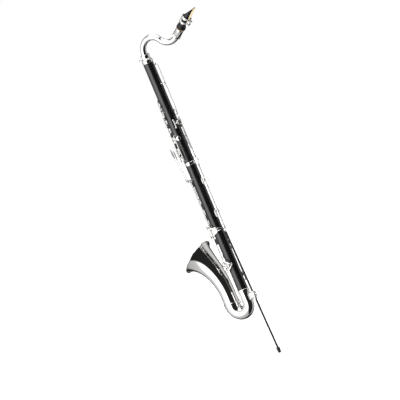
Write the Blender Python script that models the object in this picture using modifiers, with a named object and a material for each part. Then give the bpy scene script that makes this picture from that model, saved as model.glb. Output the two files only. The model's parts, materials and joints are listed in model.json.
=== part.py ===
"""Low E-flat bass clarinet: body, bow, bell, neck, mouthpiece, floor peg and sprung keywork.

The body's bore runs up +Z. The player stands at +Y, so the bell and the finger plates face -Y and the
player's left hand side is +X. The origin is the middle of the floor peg's flat tip.
Heights down the body are counted from the top of the black upper joint.
"""
from math import cos, pi, radians, sin

import bmesh
import bpy
from mathutils import Matrix, Vector

# Driving dimensions, in metres and degrees
GAP = 0.0003                # clearance between pieces that touch
BORE_R = 0.0118
BODY_WALL = 0.0057          # wall of both joints
UPPER_LENGTH = 0.346        # visible black length of the upper joint
LOWER_LENGTH = 0.439        # visible black length of the lower joint
RING_HEIGHT = 0.0115        # each plated ring on the body
RING_PROUD = 0.0006         # a ring's outside beyond the body
RING_SEAT = 0.0013          # how far the wood is turned down under a ring
TENON_WALL = 0.0016
TENON_LENGTH = 0.021
CORK_THICK = 0.0009

PEG_BELOW_BOW = 0.1395      # floor to the lowest point of the bow
BOW_BEND_R = 0.031          # centreline radius of the bow
BOW_END_R = 0.0255
BOW_STRAIGHT = 0.033        # straight bow above the bend, under the bottom ring
SHEET = 0.001               # metal wall of bow, bell and neck
BELL_RING_LENGTH = 0.012
BELL_STRAIGHT = 0.034
BELL_ARC_R = 0.233
BELL_TILT = 40.0            # how far the opening leans forward of straight up
BELL_RIM_R = 0.058
BELL_BEAD_R = 0.0022

NECK_RISE = 0.0032          # straight neck above its receiver
NECK_BEND_R = 0.043
NECK_BEND_END = -55.0       # heading where the first bend stops, degrees above level
NECK_DIP_R = 0.045
NECK_HEADING = 34.5         # slope of the mouthpiece
NECK_SLEEVE_LENGTH = 0.032
NECK_SLEEVE_WALL = 0.0032
NECK_CORK_SHOWING = 0.003
NECK_TENON_WALL = 0.0014
RECEIVER_HEIGHT = 0.0165
RECEIVER_WALL = 0.0022

MOUTHPIECE_LENGTH = 0.091
MOUTHPIECE_WALL = 0.0018    # round its socket
MOUTHPIECE_BASE = 0.0014    # the collar at its base beyond the rest
MOUTHPIECE_SOCKET = 0.018
MOUTHPIECE_CORK = 0.0016
TABLE_CUT = 0.0042          # how deep the flat for the reed is cut
REED_THICK = 0.003
REED_WIDTH = 0.015
REED_LENGTH = 0.070

PEG_R = 0.0032
PEG_LENGTH = 0.432          # rod and tip
PEG_CLEAR = 0.0121          # from the bow to the peg's rod at the clamp
PEG_LEAN = 1.8              # the foot leans back, degrees
PEG_TIP_R = 0.0058
PEG_TIP_LENGTH = 0.018

POST_R = 0.0019
POST_FOOT = 0.0015          # depth of a post in the wall
POST_CAP = 0.0006           # post above its pivot tube
BARREL_R = 0.0019
LINE_HEIGHT = 0.0070        # pivot axes of the rod keys above the body
RISE = 0.0022               # tone hole rim above the body
CUP_THICK = 0.0042
ARM_R = 0.0014
LEVER_R = 0.0016
SEESAW_HEIGHT = 0.0047      # pivot axes of the seesaw keys above the body
LEVER_HEIGHT = 0.0071       # their levers
REGISTER_HEIGHT = 0.0087    # the register key's pivot
TOUCH_HEIGHT = 0.0097       # touches beside the rod keys
GUARD_HEIGHT = 0.0143       # wire guards over the large cups
SEESAW_WIDTH = 0.0074
PLATE_OPEN = 8.0            # how far an open-standing plate is lifted, degrees
TRILL_OPEN = 5.0

BODY_R = BORE_R + BODY_WALL
TENON_R = BORE_R + TENON_WALL
BOW_START_R = BODY_R - GAP
NECK_R = BORE_R - NECK_TENON_WALL - 2 * GAP                            # its tenon slides in the bore
MOUTHPIECE_R = NECK_R + MOUTHPIECE_CORK + MOUTHPIECE_WALL + 2 * GAP
MOUTHPIECE_BASE_R = MOUTHPIECE_R + MOUTHPIECE_BASE
TABLE_DEPTH = MOUTHPIECE_R - TABLE_CUT                                 # the reed's flat, from the axis
PEG_OFFSET = BOW_START_R + PEG_CLEAR + PEG_R                           # peg axis behind the body axis
LINE_R = BODY_R + LINE_HEIGHT
SEESAW_R = BODY_R + SEESAW_HEIGHT
LEVER_LINE_R = BODY_R + LEVER_HEIGHT
REGISTER_PIVOT_R = BODY_R + REGISTER_HEIGHT
TOUCH_R = BODY_R + TOUCH_HEIGHT
GUARD_R = BODY_R + GUARD_HEIGHT
BEND_Z = PEG_BELOW_BOW + (BOW_START_R + BOW_END_R) / 2 + BOW_BEND_R    # height of the bow's bend
BODY_FOOT_Z = BEND_Z + BOW_STRAIGHT + RING_HEIGHT                      # bottom of the black body
BODY_HEAD_Z = BODY_FOOT_Z + LOWER_LENGTH + RING_HEIGHT + UPPER_LENGTH  # top of the black body
WOOD_TOP_Z = BODY_HEAD_Z + RING_HEIGHT
FRONT = -90.0
BACK = 90.0
FACET_TURN = 4.1            # turns the joints' facets off the planes of posts and tone holes

COLLECTION = bpy.data.collections.new("bass_clarinet")


def material(name, color, roughness, metallic):
    made = bpy.data.materials.new(name)
    made.use_nodes = True
    shader = made.node_tree.nodes["Principled BSDF"]
    shader.inputs["Base Color"].default_value = (*color, 1.0)
    shader.inputs["Roughness"].default_value = roughness
    shader.inputs["Metallic"].default_value = metallic
    return made


def down(s):
    """Height of a point s below the top of the black upper joint."""
    return BODY_HEAD_Z - s


def radial(angle, distance, z):
    """Point at an angle round the body, counted from +X towards +Y."""
    return Vector((cos(radians(angle)) * distance, sin(radians(angle)) * distance, z))


def outward(angle):
    return Vector((cos(radians(angle)), sin(radians(angle)), 0.0))


def tangent(angle):
    return Vector((-sin(radians(angle)), cos(radians(angle)), 0.0))


def new_object(name, mesh):
    made = bpy.data.objects.new(name, mesh)
    COLLECTION.objects.link(made)
    return made


def mesh_from(name, build):
    """A mesh object filled by a function that works on an empty bmesh."""
    mesh = bpy.data.meshes.new(name)
    work = bmesh.new()
    build(work)
    bmesh.ops.recalc_face_normals(work, faces=work.faces)
    work.to_mesh(mesh)
    work.free()
    return new_object(name, mesh)


def frame_along(start, direction, side=None):
    """Matrix whose local Z runs along direction from start, with local X near side."""
    axis = direction.normalized()
    side = side or (Vector((0, 0, 1)) if abs(axis.z) < 0.9 else Vector((0, 1, 0)))
    across = (side - axis * side.dot(axis)).normalized()
    up = axis.cross(across)
    return Matrix.Translation(start) @ Matrix((across, up, axis)).transposed().to_4x4()


def rod(name, start, end, radius, sides=10, end_radius=None):
    """Round bar from start to end, or a cone where its end has another radius."""
    start = Vector(start)
    end = Vector(end)
    length = (end - start).length

    def build(work):
        bmesh.ops.create_cone(work, cap_ends=True, segments=sides, radius1=radius,
                              radius2=radius if end_radius is None else end_radius, depth=length)
        bmesh.ops.translate(work, verts=work.verts, vec=(0, 0, length / 2))
        bmesh.ops.transform(work, verts=work.verts, matrix=frame_along(start, end - start))
    return mesh_from(name, build)


def block(name, size, matrix):
    def build(work):
        bmesh.ops.create_cube(work, size=1.0)
        bmesh.ops.scale(work, verts=work.verts, vec=size)
        bmesh.ops.transform(work, verts=work.verts, matrix=matrix)
    return mesh_from(name, build)


def evaluated_mesh(obj):
    return bpy.data.meshes.new_from_object(obj.evaluated_get(bpy.context.evaluated_depsgraph_get()))


def as_mesh(obj):
    """Replace a curve, or an object with modifiers, by its evaluated mesh with welded caps."""
    mesh = evaluated_mesh(obj)
    work = bmesh.new()
    work.from_mesh(mesh)
    bmesh.ops.remove_doubles(work, verts=work.verts, dist=1e-6)
    work.to_mesh(mesh)
    work.free()
    name = obj.name
    place = obj.matrix_world.copy()
    bpy.data.objects.remove(obj)
    made = new_object(name, mesh)
    made.matrix_world = place
    return made


def curve(name, points, radius, sides=6, radii=None, caps=True, loop=False):
    """Tube along a polyline, as a curve object with a bevel."""
    data = bpy.data.curves.new(name, "CURVE")
    data.dimensions = "3D"
    data.bevel_depth = radius
    data.bevel_resolution = (sides - 4) // 2
    data.use_fill_caps = caps
    spline = data.splines.new("POLY")
    spline.points.add(len(points) - 1)
    spline.use_cyclic_u = loop
    for index, point in enumerate(points):
        spline.points[index].co = (*point, 1.0)
        spline.points[index].radius = 1.0 if radii is None else radii[index]
    return new_object(name, data)


def wire(name, points, radius=ARM_R, sides=6, loop=False):
    return as_mesh(curve(name, points, radius, sides, loop=loop))


def turned(name, profile, segments=24, place=None, closed=True):
    """Solid of revolution round Z. The profile runs down its outer side."""
    mesh = bpy.data.meshes.new(name)
    verts = [(r, 0.0, z) for r, z in profile]
    edges = [(i, i + 1) for i in range(len(verts) - 1)]
    if closed:
        edges.append((len(verts) - 1, 0))
    mesh.from_pydata(verts, edges, [])
    made = new_object(name, mesh)
    screw = made.modifiers.new("Screw", "SCREW")
    screw.steps = segments
    screw.render_steps = segments
    screw.use_merge_vertices = True
    screw.merge_threshold = 0.00001
    bpy.context.view_layer.update()
    made = as_mesh(made)
    if place is not None:
        made.data.transform(place)
    return made


def tube(name, outer, inner, low, high, segments=24, place=None):
    return turned(name, [(outer, high), (outer, low), (inner, low), (inner, high)], segments, place)


def boolean(base, others, operation):
    for other in others:
        step = base.modifiers.new("Boolean", "BOOLEAN")
        step.operation = operation
        step.solver = "EXACT"
        step.object = other
    bpy.context.view_layer.update()
    mesh = evaluated_mesh(base)
    base.modifiers.clear()
    base.data = mesh
    for other in others:
        bpy.data.objects.remove(other)
    return base


def fuse(base, others):
    return boolean(base, others, "UNION")


def cut(base, others):
    return boolean(base, others, "DIFFERENCE")


def finish(obj, name, paint, pivot=None):
    """Name a piece, give it its material and put its origin on its pivot."""
    obj.name = name
    obj.data.name = name
    obj.data.materials.clear()
    obj.data.materials.append(paint)
    if pivot is not None:
        obj.data.transform(Matrix.Translation(-pivot))
        obj.location = pivot
    obj.data.shade_smooth()
    obj.data.set_sharp_from_angle(angle=radians(35))
    return obj


# Keywork ----------------------------------------------------------------------------------------

class Hole:
    """A tone hole with a raised rim, and the closed position of the pad cup over it."""

    def __init__(self, s, angle, radius):
        self.s = s
        self.angle = angle
        self.radius = radius
        self.rim = radius + 0.0014
        self.cup = radius + 0.0022
        self.seat = BODY_R + RISE

    def chimney(self):
        return rod("chimney", radial(self.angle, BODY_R - 0.004, down(self.s)),
                   radial(self.angle, self.seat, down(self.s)), self.rim, 12)

    def drill(self):
        return rod("drill", radial(self.angle, 0.0, down(self.s)),
                   radial(self.angle, self.seat + 0.003, down(self.s)), self.radius, 12)

    def top(self, lift=0.0):
        return radial(self.angle, self.seat + GAP + CUP_THICK + lift, down(self.s))

    def pad_cup(self):
        low = radial(self.angle, self.seat + GAP, down(self.s))
        return rod("cup", low, self.top(), self.cup, 12, self.cup * 0.84)


def line_point(angle, s):
    return radial(angle, LINE_R, down(s))


def barrel(angle, post_above, post_below):
    clear = POST_R + GAP
    return rod("barrel", line_point(angle, post_above + clear), line_point(angle, post_below - clear),
               BARREL_R, 8)


def cup_arm(angle, hole):
    """Arm from a pivot tube over the top of a pad cup."""
    over = radial((angle + hole.angle) / 2, LINE_R + 0.0020, down(hole.s))
    return wire("arm", [line_point(angle, hole.s), over, hole.top(0.0006)])


def opening_sign(line_angle, hole):
    return 1.0 if line_angle > hole.angle else -1.0


def rod_key(name, angle, post_above, post_below, hole, paint, extras=(), lifted=0.0, own_arm=True):
    """Key on a pivot tube along the body, with a pad cup over its tone hole if it has one."""
    pieces = list(extras)
    if hole:
        pieces.append(hole.pad_cup())
    if hole and own_arm:
        pieces.append(cup_arm(angle, hole))
    key = fuse(barrel(angle, post_above, post_below), pieces)
    finish(key, name, paint, line_point(angle, (post_above + post_below) / 2))
    if hole:
        key.rotation_euler.z = radians(lifted) * opening_sign(angle, hole)
    return key


def seesaw_key(name, hole, pivot_s, touch_s, paint, touch, reach=LEVER_LINE_R, pivot_r=SEESAW_R, drop=0.0):
    """Lever along the body on a cross pivot, with its cup above it and its touch below."""
    angle = hole.angle
    across = tangent(angle)
    centre = radial(angle, pivot_r, down(pivot_s))
    half = across * (SEESAW_WIDTH / 2)
    knee = touch_s - 0.016
    route = [hole.top(-0.002), radial(angle, reach, down(hole.s + 0.004)),
             radial(angle, reach, down(knee)), radial(angle, reach - drop, down(touch_s))]
    plate = block("touch", (0.0024, touch[0], touch[1]),
                  frame_along(radial(angle, reach - drop, down(touch_s)), Vector((0, 0, 1)), outward(angle)))
    web = rod("web", centre, radial(angle, reach, down(pivot_s)), LEVER_R)
    key = fuse(rod("barrel", centre - half, centre + half, BARREL_R, 8),
               [wire("lever", route, LEVER_R), plate, hole.pad_cup(), web])
    return finish(key, name, paint, centre)


def post(angle, s):
    return rod("post", radial(angle, BODY_R - POST_FOOT, down(s)),
               radial(angle, LINE_R + BARREL_R + POST_CAP, down(s)), POST_R, 6)


def cross_posts(angle, s, distance=SEESAW_R):
    """Two posts that hold a cross pivot between them."""
    offset = SEESAW_WIDTH / 2 + GAP + 0.0014
    made = []
    for side in (-1, 1):
        foot = radial(angle, BODY_R - 2 * POST_FOOT, down(s)) + tangent(angle) * side * offset
        head = radial(angle, distance + BARREL_R + POST_CAP, down(s)) + tangent(angle) * side * offset
        made.append(rod("post", foot, head, 0.0014, 6))
    return made


def lower(t):
    """Distance below the black top of a point t below the top of the black lower joint."""
    return UPPER_LENGTH + RING_HEIGHT + t


# Places along and round the body: distance below the black top, angle round it, tone hole radius
STACK_LINE = -45.0
C_SHARP_LINE = -2.0
THUMB_LINE = 44.0
BRIDGE_LINE = -127.0
LINK_LINE = 117.0
RH_LINE = -135.0
EB_LINE = -45.0
FC_LINE = -24.0
FS_LINE = -61.0
RIGHT_LINE = 150.0
LOWER_RIGHT_LINE = -160.0

REGISTER = Hole(0.009, 100.0, 0.0026)
THROAT_A = Hole(0.126, FRONT, 0.0046)
THROAT_GS = Hole(0.144, -34.0, 0.0046)
THUMB = Hole(0.214, 80.0, 0.0058)
VENT_BRIDGE = Hole(0.188, FRONT, 0.0040)
LH_PLATES = [Hole(0.214, FRONT, 0.0066), Hole(0.246, FRONT, 0.0068), Hole(0.284, FRONT, 0.0072)]
SLIVER = Hole(0.319, FRONT, 0.0060)
C_SHARP = Hole(0.262, 24.0, 0.0060)
TRILLS = [Hole(0.112, -146.0, 0.0044), Hole(0.142, -168.0, 0.0044),
          Hole(0.172, 171.5, 0.0044), Hole(0.226, 148.0, 0.0044)]
TRILL_PIVOTS = [0.180, 0.194, 0.208, 0.262]
TRILL_TOUCHES = [0.262, 0.272, 0.284, 0.298]
VENT_LOWER = Hole(lower(0.0625), FRONT, 0.0066)
RH_PLATES = [Hole(lower(0.1425), FRONT, 0.0082), Hole(lower(0.1795), FRONT, 0.0084),
             Hole(lower(0.2165), FRONT, 0.0084)]
AB_EB = Hole(lower(0.2645), FRONT, 0.0084)
F_C = Hole(lower(0.2275), 6.0, 0.0094)
FS_CS = Hole(lower(0.3185), -118.0, 0.0088)
E_B = Hole(lower(0.3485), -14.0, 0.0096)
LOW_EB = Hole(lower(0.3945), 190.0, 0.0096)
LINK_VENT = Hole(0.2085, 136.0, 0.0024)

UPPER_HOLES = [REGISTER, THROAT_A, THROAT_GS, THUMB, VENT_BRIDGE, SLIVER, C_SHARP, LINK_VENT,
               *LH_PLATES, *TRILLS]
LOWER_HOLES = [VENT_LOWER, AB_EB, F_C, FS_CS, E_B, LOW_EB, *RH_PLATES]

REGISTER_PIVOT = 0.077
THROAT_A_PIVOT = 0.143
THROAT_GS_PIVOT = 0.166
STACK_POSTS = [0.2005, 0.2300, 0.2620, 0.3000, 0.3370]
C_SHARP_POSTS = [0.2500, 0.3370]
THUMB_POSTS = [0.2010, 0.2270]
BRIDGE_POSTS = [0.1800, UPPER_LENGTH - 0.0065]
LINK_UPPER_POSTS = [0.2000, UPPER_LENGTH - 0.0090]
BRIDGE_S = UPPER_LENGTH + 0.0040                    # where the bridge keys meet across the joint
LINK_LOWER_POSTS = [lower(t) for t in (0.0065, 0.2325)]
BRIDGE_LOWER_POSTS = [lower(t) for t in (0.0065, 0.1255)]
RH_POSTS = [lower(t) for t in (0.1255, 0.1605, 0.1985, 0.2365, 0.2845)]
EB_POSTS = [lower(t) for t in (0.0455, 0.3665)]
FC_POSTS = [lower(t) for t in (0.0455, 0.2125)]
FS_POSTS = [lower(t) for t in (0.0455, 0.1145)]
LOWER_RIGHT_POSTS = [lower(t) for t in (0.2605, 0.3365)]
RIGHT_POSTS = [lower(t) for t in (0.2425, 0.2585, 0.2745, 0.4145)]


def upper_fittings():
    made = [post(STACK_LINE, s) for s in STACK_POSTS]
    made += [post(C_SHARP_LINE, s) for s in C_SHARP_POSTS]
    made += [post(THUMB_LINE, s) for s in THUMB_POSTS]
    made += [post(BRIDGE_LINE, s) for s in BRIDGE_POSTS]
    made += [post(LINK_LINE, s) for s in LINK_UPPER_POSTS]
    made += cross_posts(REGISTER.angle, REGISTER_PIVOT, REGISTER_PIVOT_R)
    made += cross_posts(THROAT_A.angle, THROAT_A_PIVOT)
    made += cross_posts(THROAT_GS.angle, THROAT_GS_PIVOT)
    for hole, pivot_s in zip(TRILLS, TRILL_PIVOTS):
        made += cross_posts(hole.angle, pivot_s)
    return made


def lower_fittings():
    made = [post(LINK_LINE, s) for s in LINK_LOWER_POSTS]
    made += [post(RH_LINE, s) for s in sorted(set(BRIDGE_LOWER_POSTS + RH_POSTS))]
    made += [post(EB_LINE, s) for s in EB_POSTS]
    made += [post(FC_LINE, s) for s in FC_POSTS]
    made += [post(FS_LINE, s) for s in FS_POSTS]
    made += [post(LOWER_RIGHT_LINE, s) for s in LOWER_RIGHT_POSTS]
    made += [post(RIGHT_LINE, s) for s in RIGHT_POSTS]
    return made


# Body -------------------------------------------------------------------------------------------

def corked_r():
    """Outside of a tenon's cork."""
    return TENON_R + GAP + CORK_THICK


def lower_tenon_r():
    return BOW_START_R - SHEET - GAP - CORK_THICK - GAP


def upper_joint(paint):
    seat = BODY_R - RING_SEAT
    foot = down(UPPER_LENGTH)
    body = turned("upper", [
        (seat, WOOD_TOP_Z), (seat, down(0)), (BODY_R, down(0)), (BODY_R, foot), (TENON_R, foot),
        (TENON_R, foot - TENON_LENGTH), (BORE_R, foot - TENON_LENGTH), (BORE_R, WOOD_TOP_Z)],
        place=Matrix.Rotation(radians(FACET_TURN), 4, "Z"))
    fuse(body, [hole.chimney() for hole in UPPER_HOLES] + upper_fittings())
    cut(body, [hole.drill() for hole in UPPER_HOLES])
    return finish(body, "upper_joint", paint)


def lower_joint(paint):
    seat = BODY_R - RING_SEAT
    head = down(UPPER_LENGTH) - GAP
    socket = corked_r() + GAP
    socket_floor = down(UPPER_LENGTH) - TENON_LENGTH - 2 * GAP
    shoulder = down(UPPER_LENGTH + RING_HEIGHT)
    tenon = lower_tenon_r()
    body = turned("lower", [
        (seat, head), (seat, shoulder), (BODY_R, shoulder), (BODY_R, BODY_FOOT_Z), (tenon, BODY_FOOT_Z),
        (tenon, BODY_FOOT_Z - TENON_LENGTH), (BORE_R, BODY_FOOT_Z - TENON_LENGTH),
        (BORE_R, socket_floor), (socket, socket_floor), (socket, head)],
        place=Matrix.Rotation(radians(FACET_TURN), 4, "Z"))
    fuse(body, [hole.chimney() for hole in LOWER_HOLES] + lower_fittings())
    cut(body, [hole.drill() for hole in LOWER_HOLES])
    return finish(body, "lower_joint", paint)


def body_rings(plate, cork):
    proud = BODY_R + RING_PROUD
    seat = BODY_R - RING_SEAT + GAP
    finish(tube("ring", proud, seat, down(0) + GAP, WOOD_TOP_Z), "top_ring", plate)
    middle = down(UPPER_LENGTH)
    finish(tube("ring", proud, seat, middle - RING_HEIGHT + GAP, middle - GAP), "middle_ring", plate)
    collar = BOW_START_R + GAP
    finish(tube("ring", collar + 0.0014, collar, BODY_FOOT_Z - RING_HEIGHT, BODY_FOOT_Z - GAP),
           "bottom_ring", plate)
    finish(tube("cork", corked_r(), TENON_R + GAP, middle - TENON_LENGTH, middle - 0.004),
           "middle_tenon_cork", cork)
    tenon = lower_tenon_r() + GAP
    finish(tube("cork", tenon + CORK_THICK, tenon, BODY_FOOT_Z - TENON_LENGTH, BODY_FOOT_Z - 0.004),
           "lower_tenon_cork", cork)


def sheet_tube(name, points, radii, sides):
    """Open metal tube of one wall thickness along a route."""
    shell = as_mesh(curve(name, points, 1.0, sides, radii, caps=False))
    wall = shell.modifiers.new("Wall", "SOLIDIFY")
    wall.thickness = SHEET
    wall.offset = -1.0
    bpy.context.view_layer.update()
    return as_mesh(shell)


def bow_joint_z():
    """Height where the bow meets the bell."""
    return BEND_Z + BELL_RING_LENGTH / 2 + 0.002


def bow(plate):
    steps = 12
    points = [Vector((0, 0, BODY_FOOT_Z - 2 * GAP))]
    for step in range(steps + 1):
        turn = pi * step / steps
        points.append(Vector((0, (cos(turn) - 1) * BOW_BEND_R, BEND_Z - sin(turn) * BOW_BEND_R)))
    points.append(Vector((0, -2 * BOW_BEND_R, bow_joint_z() - GAP)))
    radii = [BOW_START_R]
    radii += [BOW_START_R + (BOW_END_R - BOW_START_R) * step / steps for step in range(steps + 1)]
    radii.append(BOW_END_R)
    return finish(sheet_tube("bow", points, radii, 20), "bow", plate)


def bell_axis(share):
    """Point and direction on the bell's axis, from its ring at 0 to its rim at 1."""
    turn = radians(BELL_TILT) * share
    point = Vector((0, -2 * BOW_BEND_R - BELL_ARC_R * (1 - cos(turn)),
                    bow_joint_z() + BELL_STRAIGHT + BELL_ARC_R * sin(turn)))
    return point, Vector((0, -sin(turn), cos(turn)))


def bell_radius(share):
    """Slow cone below, sharp flare at the rim."""
    flare = BELL_RIM_R - BOW_END_R
    return BOW_END_R + flare * (0.62 * share ** 1.7 + 0.38 * share ** 7)


def bell(plate):
    steps = 14
    points = [Vector((0, -2 * BOW_BEND_R, bow_joint_z()))]
    radii = [BOW_END_R]
    for step in range(steps + 1):
        points.append(bell_axis(step / steps)[0])
        radii.append(bell_radius(step / steps))
    finish(sheet_tube("bell", points, radii, 28), "bell", plate)
    rim, heading = bell_axis(1.0)
    place = frame_along(rim, heading, Vector((1, 0, 0)))
    bead_r = BELL_RIM_R + GAP + BELL_BEAD_R
    circle = [(bead_r + BELL_BEAD_R * cos(a), -BELL_BEAD_R * sin(a) - 0.0004)
              for a in [2 * pi * k / 6 for k in range(6)]]
    finish(turned("bead", circle, 28, place), "bell_rim_bead", plate)
    centre = Matrix.Translation((0, -2 * BOW_BEND_R, bow_joint_z()))
    inner = BOW_END_R + GAP
    finish(tube("ring", inner + 0.0016, inner, -BELL_RING_LENGTH / 2, BELL_RING_LENGTH / 2, 24, centre),
           "bell_ring", plate)


def bell_brace(plate):
    """Strut soldered between the bow's straight leg and the bell's tube."""
    back = -BOW_START_R - GAP
    front = -2 * BOW_BEND_R + BOW_END_R + 0.0016 + 2 * GAP
    z = bow_joint_z()
    brace = rod("brace", (0, back - 0.0004, z), (0, front, z), 0.0035, 12)
    plate_size = (0.012, 0.0022, 0.014)
    feet = block("foot", plate_size, Matrix.Translation((0, back - 0.0011, z)))
    finish(fuse(brace, [feet]), "bell_brace", plate)


# Floor peg --------------------------------------------------------------------------------------

CLAMP_Z = BEND_Z + 0.016
CLAMP_SIZE = (0.017, 0.021, 0.017)


def peg_axis():
    """Point of the peg's axis at the clamp, and its direction down to the floor."""
    lean = radians(PEG_LEAN)
    return Vector((0, PEG_OFFSET, CLAMP_Z)), Vector((0, sin(lean), -cos(lean)))


def peg_foot():
    """Middle of the flat tip: the peg reaches the height that the bow's clearance sets."""
    start, heading = peg_axis()
    return start + heading * (CLAMP_Z / -heading.z)


def floor_peg(plate, steel, rubber):
    start, heading = peg_axis()
    foot = peg_foot()
    rod_low = foot - heading * (PEG_TIP_LENGTH * 0.35)
    rod_top = foot - heading * PEG_LENGTH
    pivot = start.copy()
    finish(rod("rod", rod_low, rod_top, PEG_R, 14), "peg_rod", steel, pivot)
    tip = rod("tip", foot, foot - heading * PEG_TIP_LENGTH, PEG_TIP_R * 0.8, 16, PEG_TIP_R)
    socket = rod("socket", rod_low + heading * GAP, foot - heading * (PEG_TIP_LENGTH + 0.002),
                 PEG_R + GAP, 14)
    finish(cut(tip, [socket]), "peg_tip", rubber, pivot.copy())

    middle = Vector((0, BOW_START_R + GAP + CLAMP_SIZE[1] / 2, CLAMP_Z))
    clamp = block("clamp", CLAMP_SIZE, Matrix.Translation(middle))
    cheek = block("cheek", (CLAMP_SIZE[0] * 0.62, 0.005, 0.030),
                  Matrix.Translation((0, BOW_START_R + GAP + 0.0025, CLAMP_Z - 0.004)))
    collar = rod("collar", start + heading * 0.016, start - heading * 0.012, PEG_R + 0.0032, 14)
    fuse(clamp, [cheek, collar])
    bore = rod("bore", start + heading * 0.03, start - heading * 0.03, PEG_R + GAP, 14)
    screw_r = 0.0021
    thread = rod("thread", start, start + Vector((0, 0.03, 0)), screw_r + GAP, 10)
    finish(cut(clamp, [bore, thread]), "peg_clamp", plate)

    tip_y = PEG_OFFSET + PEG_R + 2 * GAP
    shank_end = middle.y + CLAMP_SIZE[1] / 2 + 0.006
    shank = rod("shank", (0, tip_y, CLAMP_Z), (0, shank_end, CLAMP_Z), screw_r, 10)
    hub = rod("hub", (0, shank_end - 0.004, CLAMP_Z), (0, shank_end + 0.003, CLAMP_Z), 0.0042, 12)
    wing = block("wing", (0.0032, 0.010, 0.018), Matrix.Translation((0, shank_end + 0.006, CLAMP_Z)))
    finish(fuse(shank, [hub, wing]), "peg_screw", plate, Vector((0, tip_y, CLAMP_Z)))


# Neck and mouthpiece ----------------------------------------------------------------------------

def bend(points, heading, target, radius, step=12.0):
    """Carry a route in the YZ plane round an arc, from one heading to another above level."""
    start = points[-1]
    turn = 1.0 if target > heading else -1.0
    count = round(abs(target - heading) / step)
    for index in range(1, count + 1):
        now = heading + (target - heading) * index / count
        points.append(Vector((0, start.y + turn * radius * (sin(radians(now)) - sin(radians(heading))),
                              start.z + turn * radius * (cos(radians(heading)) - cos(radians(now))))))


RECEIVER_TOP_Z = WOOD_TOP_Z + GAP + RECEIVER_HEIGHT
NECK_SEAT = 0.014                                          # neck tenon inside the body
MOUTH_AXIS = Vector((0, cos(radians(NECK_HEADING)), sin(radians(NECK_HEADING))))
REED_SIDE_UP = Vector((0, -sin(radians(NECK_HEADING)), cos(radians(NECK_HEADING))))


def neck_route():
    points = [Vector((0, 0, WOOD_TOP_Z - NECK_SEAT)), Vector((0, 0, RECEIVER_TOP_Z + NECK_RISE))]
    bend(points, 90.0, NECK_BEND_END, NECK_BEND_R)
    bend(points, NECK_BEND_END, NECK_HEADING, NECK_DIP_R)
    return points


def sleeve_start():
    return neck_route()[-1]


def mouthpiece_base():
    return sleeve_start() + MOUTH_AXIS * (NECK_SLEEVE_LENGTH + NECK_CORK_SHOWING + GAP)


def neck(plate, cork):
    pivot = Vector((0, 0, WOOD_TOP_Z))
    route = neck_route()
    route.append(mouthpiece_base() + MOUTH_AXIS * (MOUTHPIECE_SOCKET - 0.001))
    finish(sheet_tube("neck", route, [NECK_R] * len(route), 14), "neck_pipe", plate, pivot.copy())

    place = frame_along(sleeve_start(), MOUTH_AXIS, REED_SIDE_UP)
    inner = NECK_R + GAP
    outer = inner + NECK_SLEEVE_WALL
    lip = 0.0012
    sleeve = turned("sleeve", [
        (outer, NECK_SLEEVE_LENGTH), (outer, 0.004), (outer + lip, 0.003), (outer + lip, 0.0),
        (inner, 0.0), (inner, NECK_SLEEVE_LENGTH)], 20, place)
    finish(sleeve, "neck_sleeve", plate, pivot.copy())
    low = NECK_SLEEVE_LENGTH + GAP
    high = NECK_SLEEVE_LENGTH + NECK_CORK_SHOWING + MOUTHPIECE_SOCKET - 0.001
    finish(tube("cork", inner + MOUTHPIECE_CORK, inner, low, high, 20, place), "neck_cork", cork,
           pivot.copy())

    tenon = inner + NECK_TENON_WALL
    collar = tenon + 0.0028
    finish(turned("tenon", [
        (collar, RECEIVER_TOP_Z + NECK_RISE - GAP), (collar, RECEIVER_TOP_Z + GAP),
        (tenon, RECEIVER_TOP_Z + GAP), (tenon, WOOD_TOP_Z - NECK_SEAT),
        (inner, WOOD_TOP_Z - NECK_SEAT), (inner, RECEIVER_TOP_Z + NECK_RISE - GAP)], 20),
        "neck_tenon", plate, pivot.copy())
    receiver(plate, tenon + GAP)


def receiver(plate, inner):
    """Socket on the body's head that the neck turns in, with its clamping thumb screw."""
    outer = inner + RECEIVER_WALL
    low = WOOD_TOP_Z + GAP
    z = (low + RECEIVER_TOP_Z) / 2
    screw_r = 0.0020
    ring = turned("receiver", [
        (outer, RECEIVER_TOP_Z), (outer, low + 0.003), (BODY_R - 0.0012, low + 0.002),
        (BODY_R - 0.0012, low), (inner, low), (inner, RECEIVER_TOP_Z)], 24)
    boss = rod("boss", (0, -inner - 0.0008, z), (0, -outer - 0.006, z), 0.0046, 12)
    fuse(ring, [boss])
    thread = rod("thread", (0, -inner + 0.002, z), (0, -outer - 0.010, z), screw_r + GAP, 10)
    finish(cut(ring, [thread]), "neck_receiver", plate)
    start = -inner - 0.0002
    end = -outer - 0.012
    shank = rod("shank", (0, start, z), (0, end, z), screw_r, 10)
    hub = rod("hub", (0, end + 0.003, z), (0, end - 0.004, z), 0.0038, 12)
    wing = block("wing", (0.0030, 0.010, 0.015), Matrix.Translation((0, end - 0.007, z)))
    finish(fuse(shank, [hub, wing]), "neck_screw", plate, Vector((0, start, z)))


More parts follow.
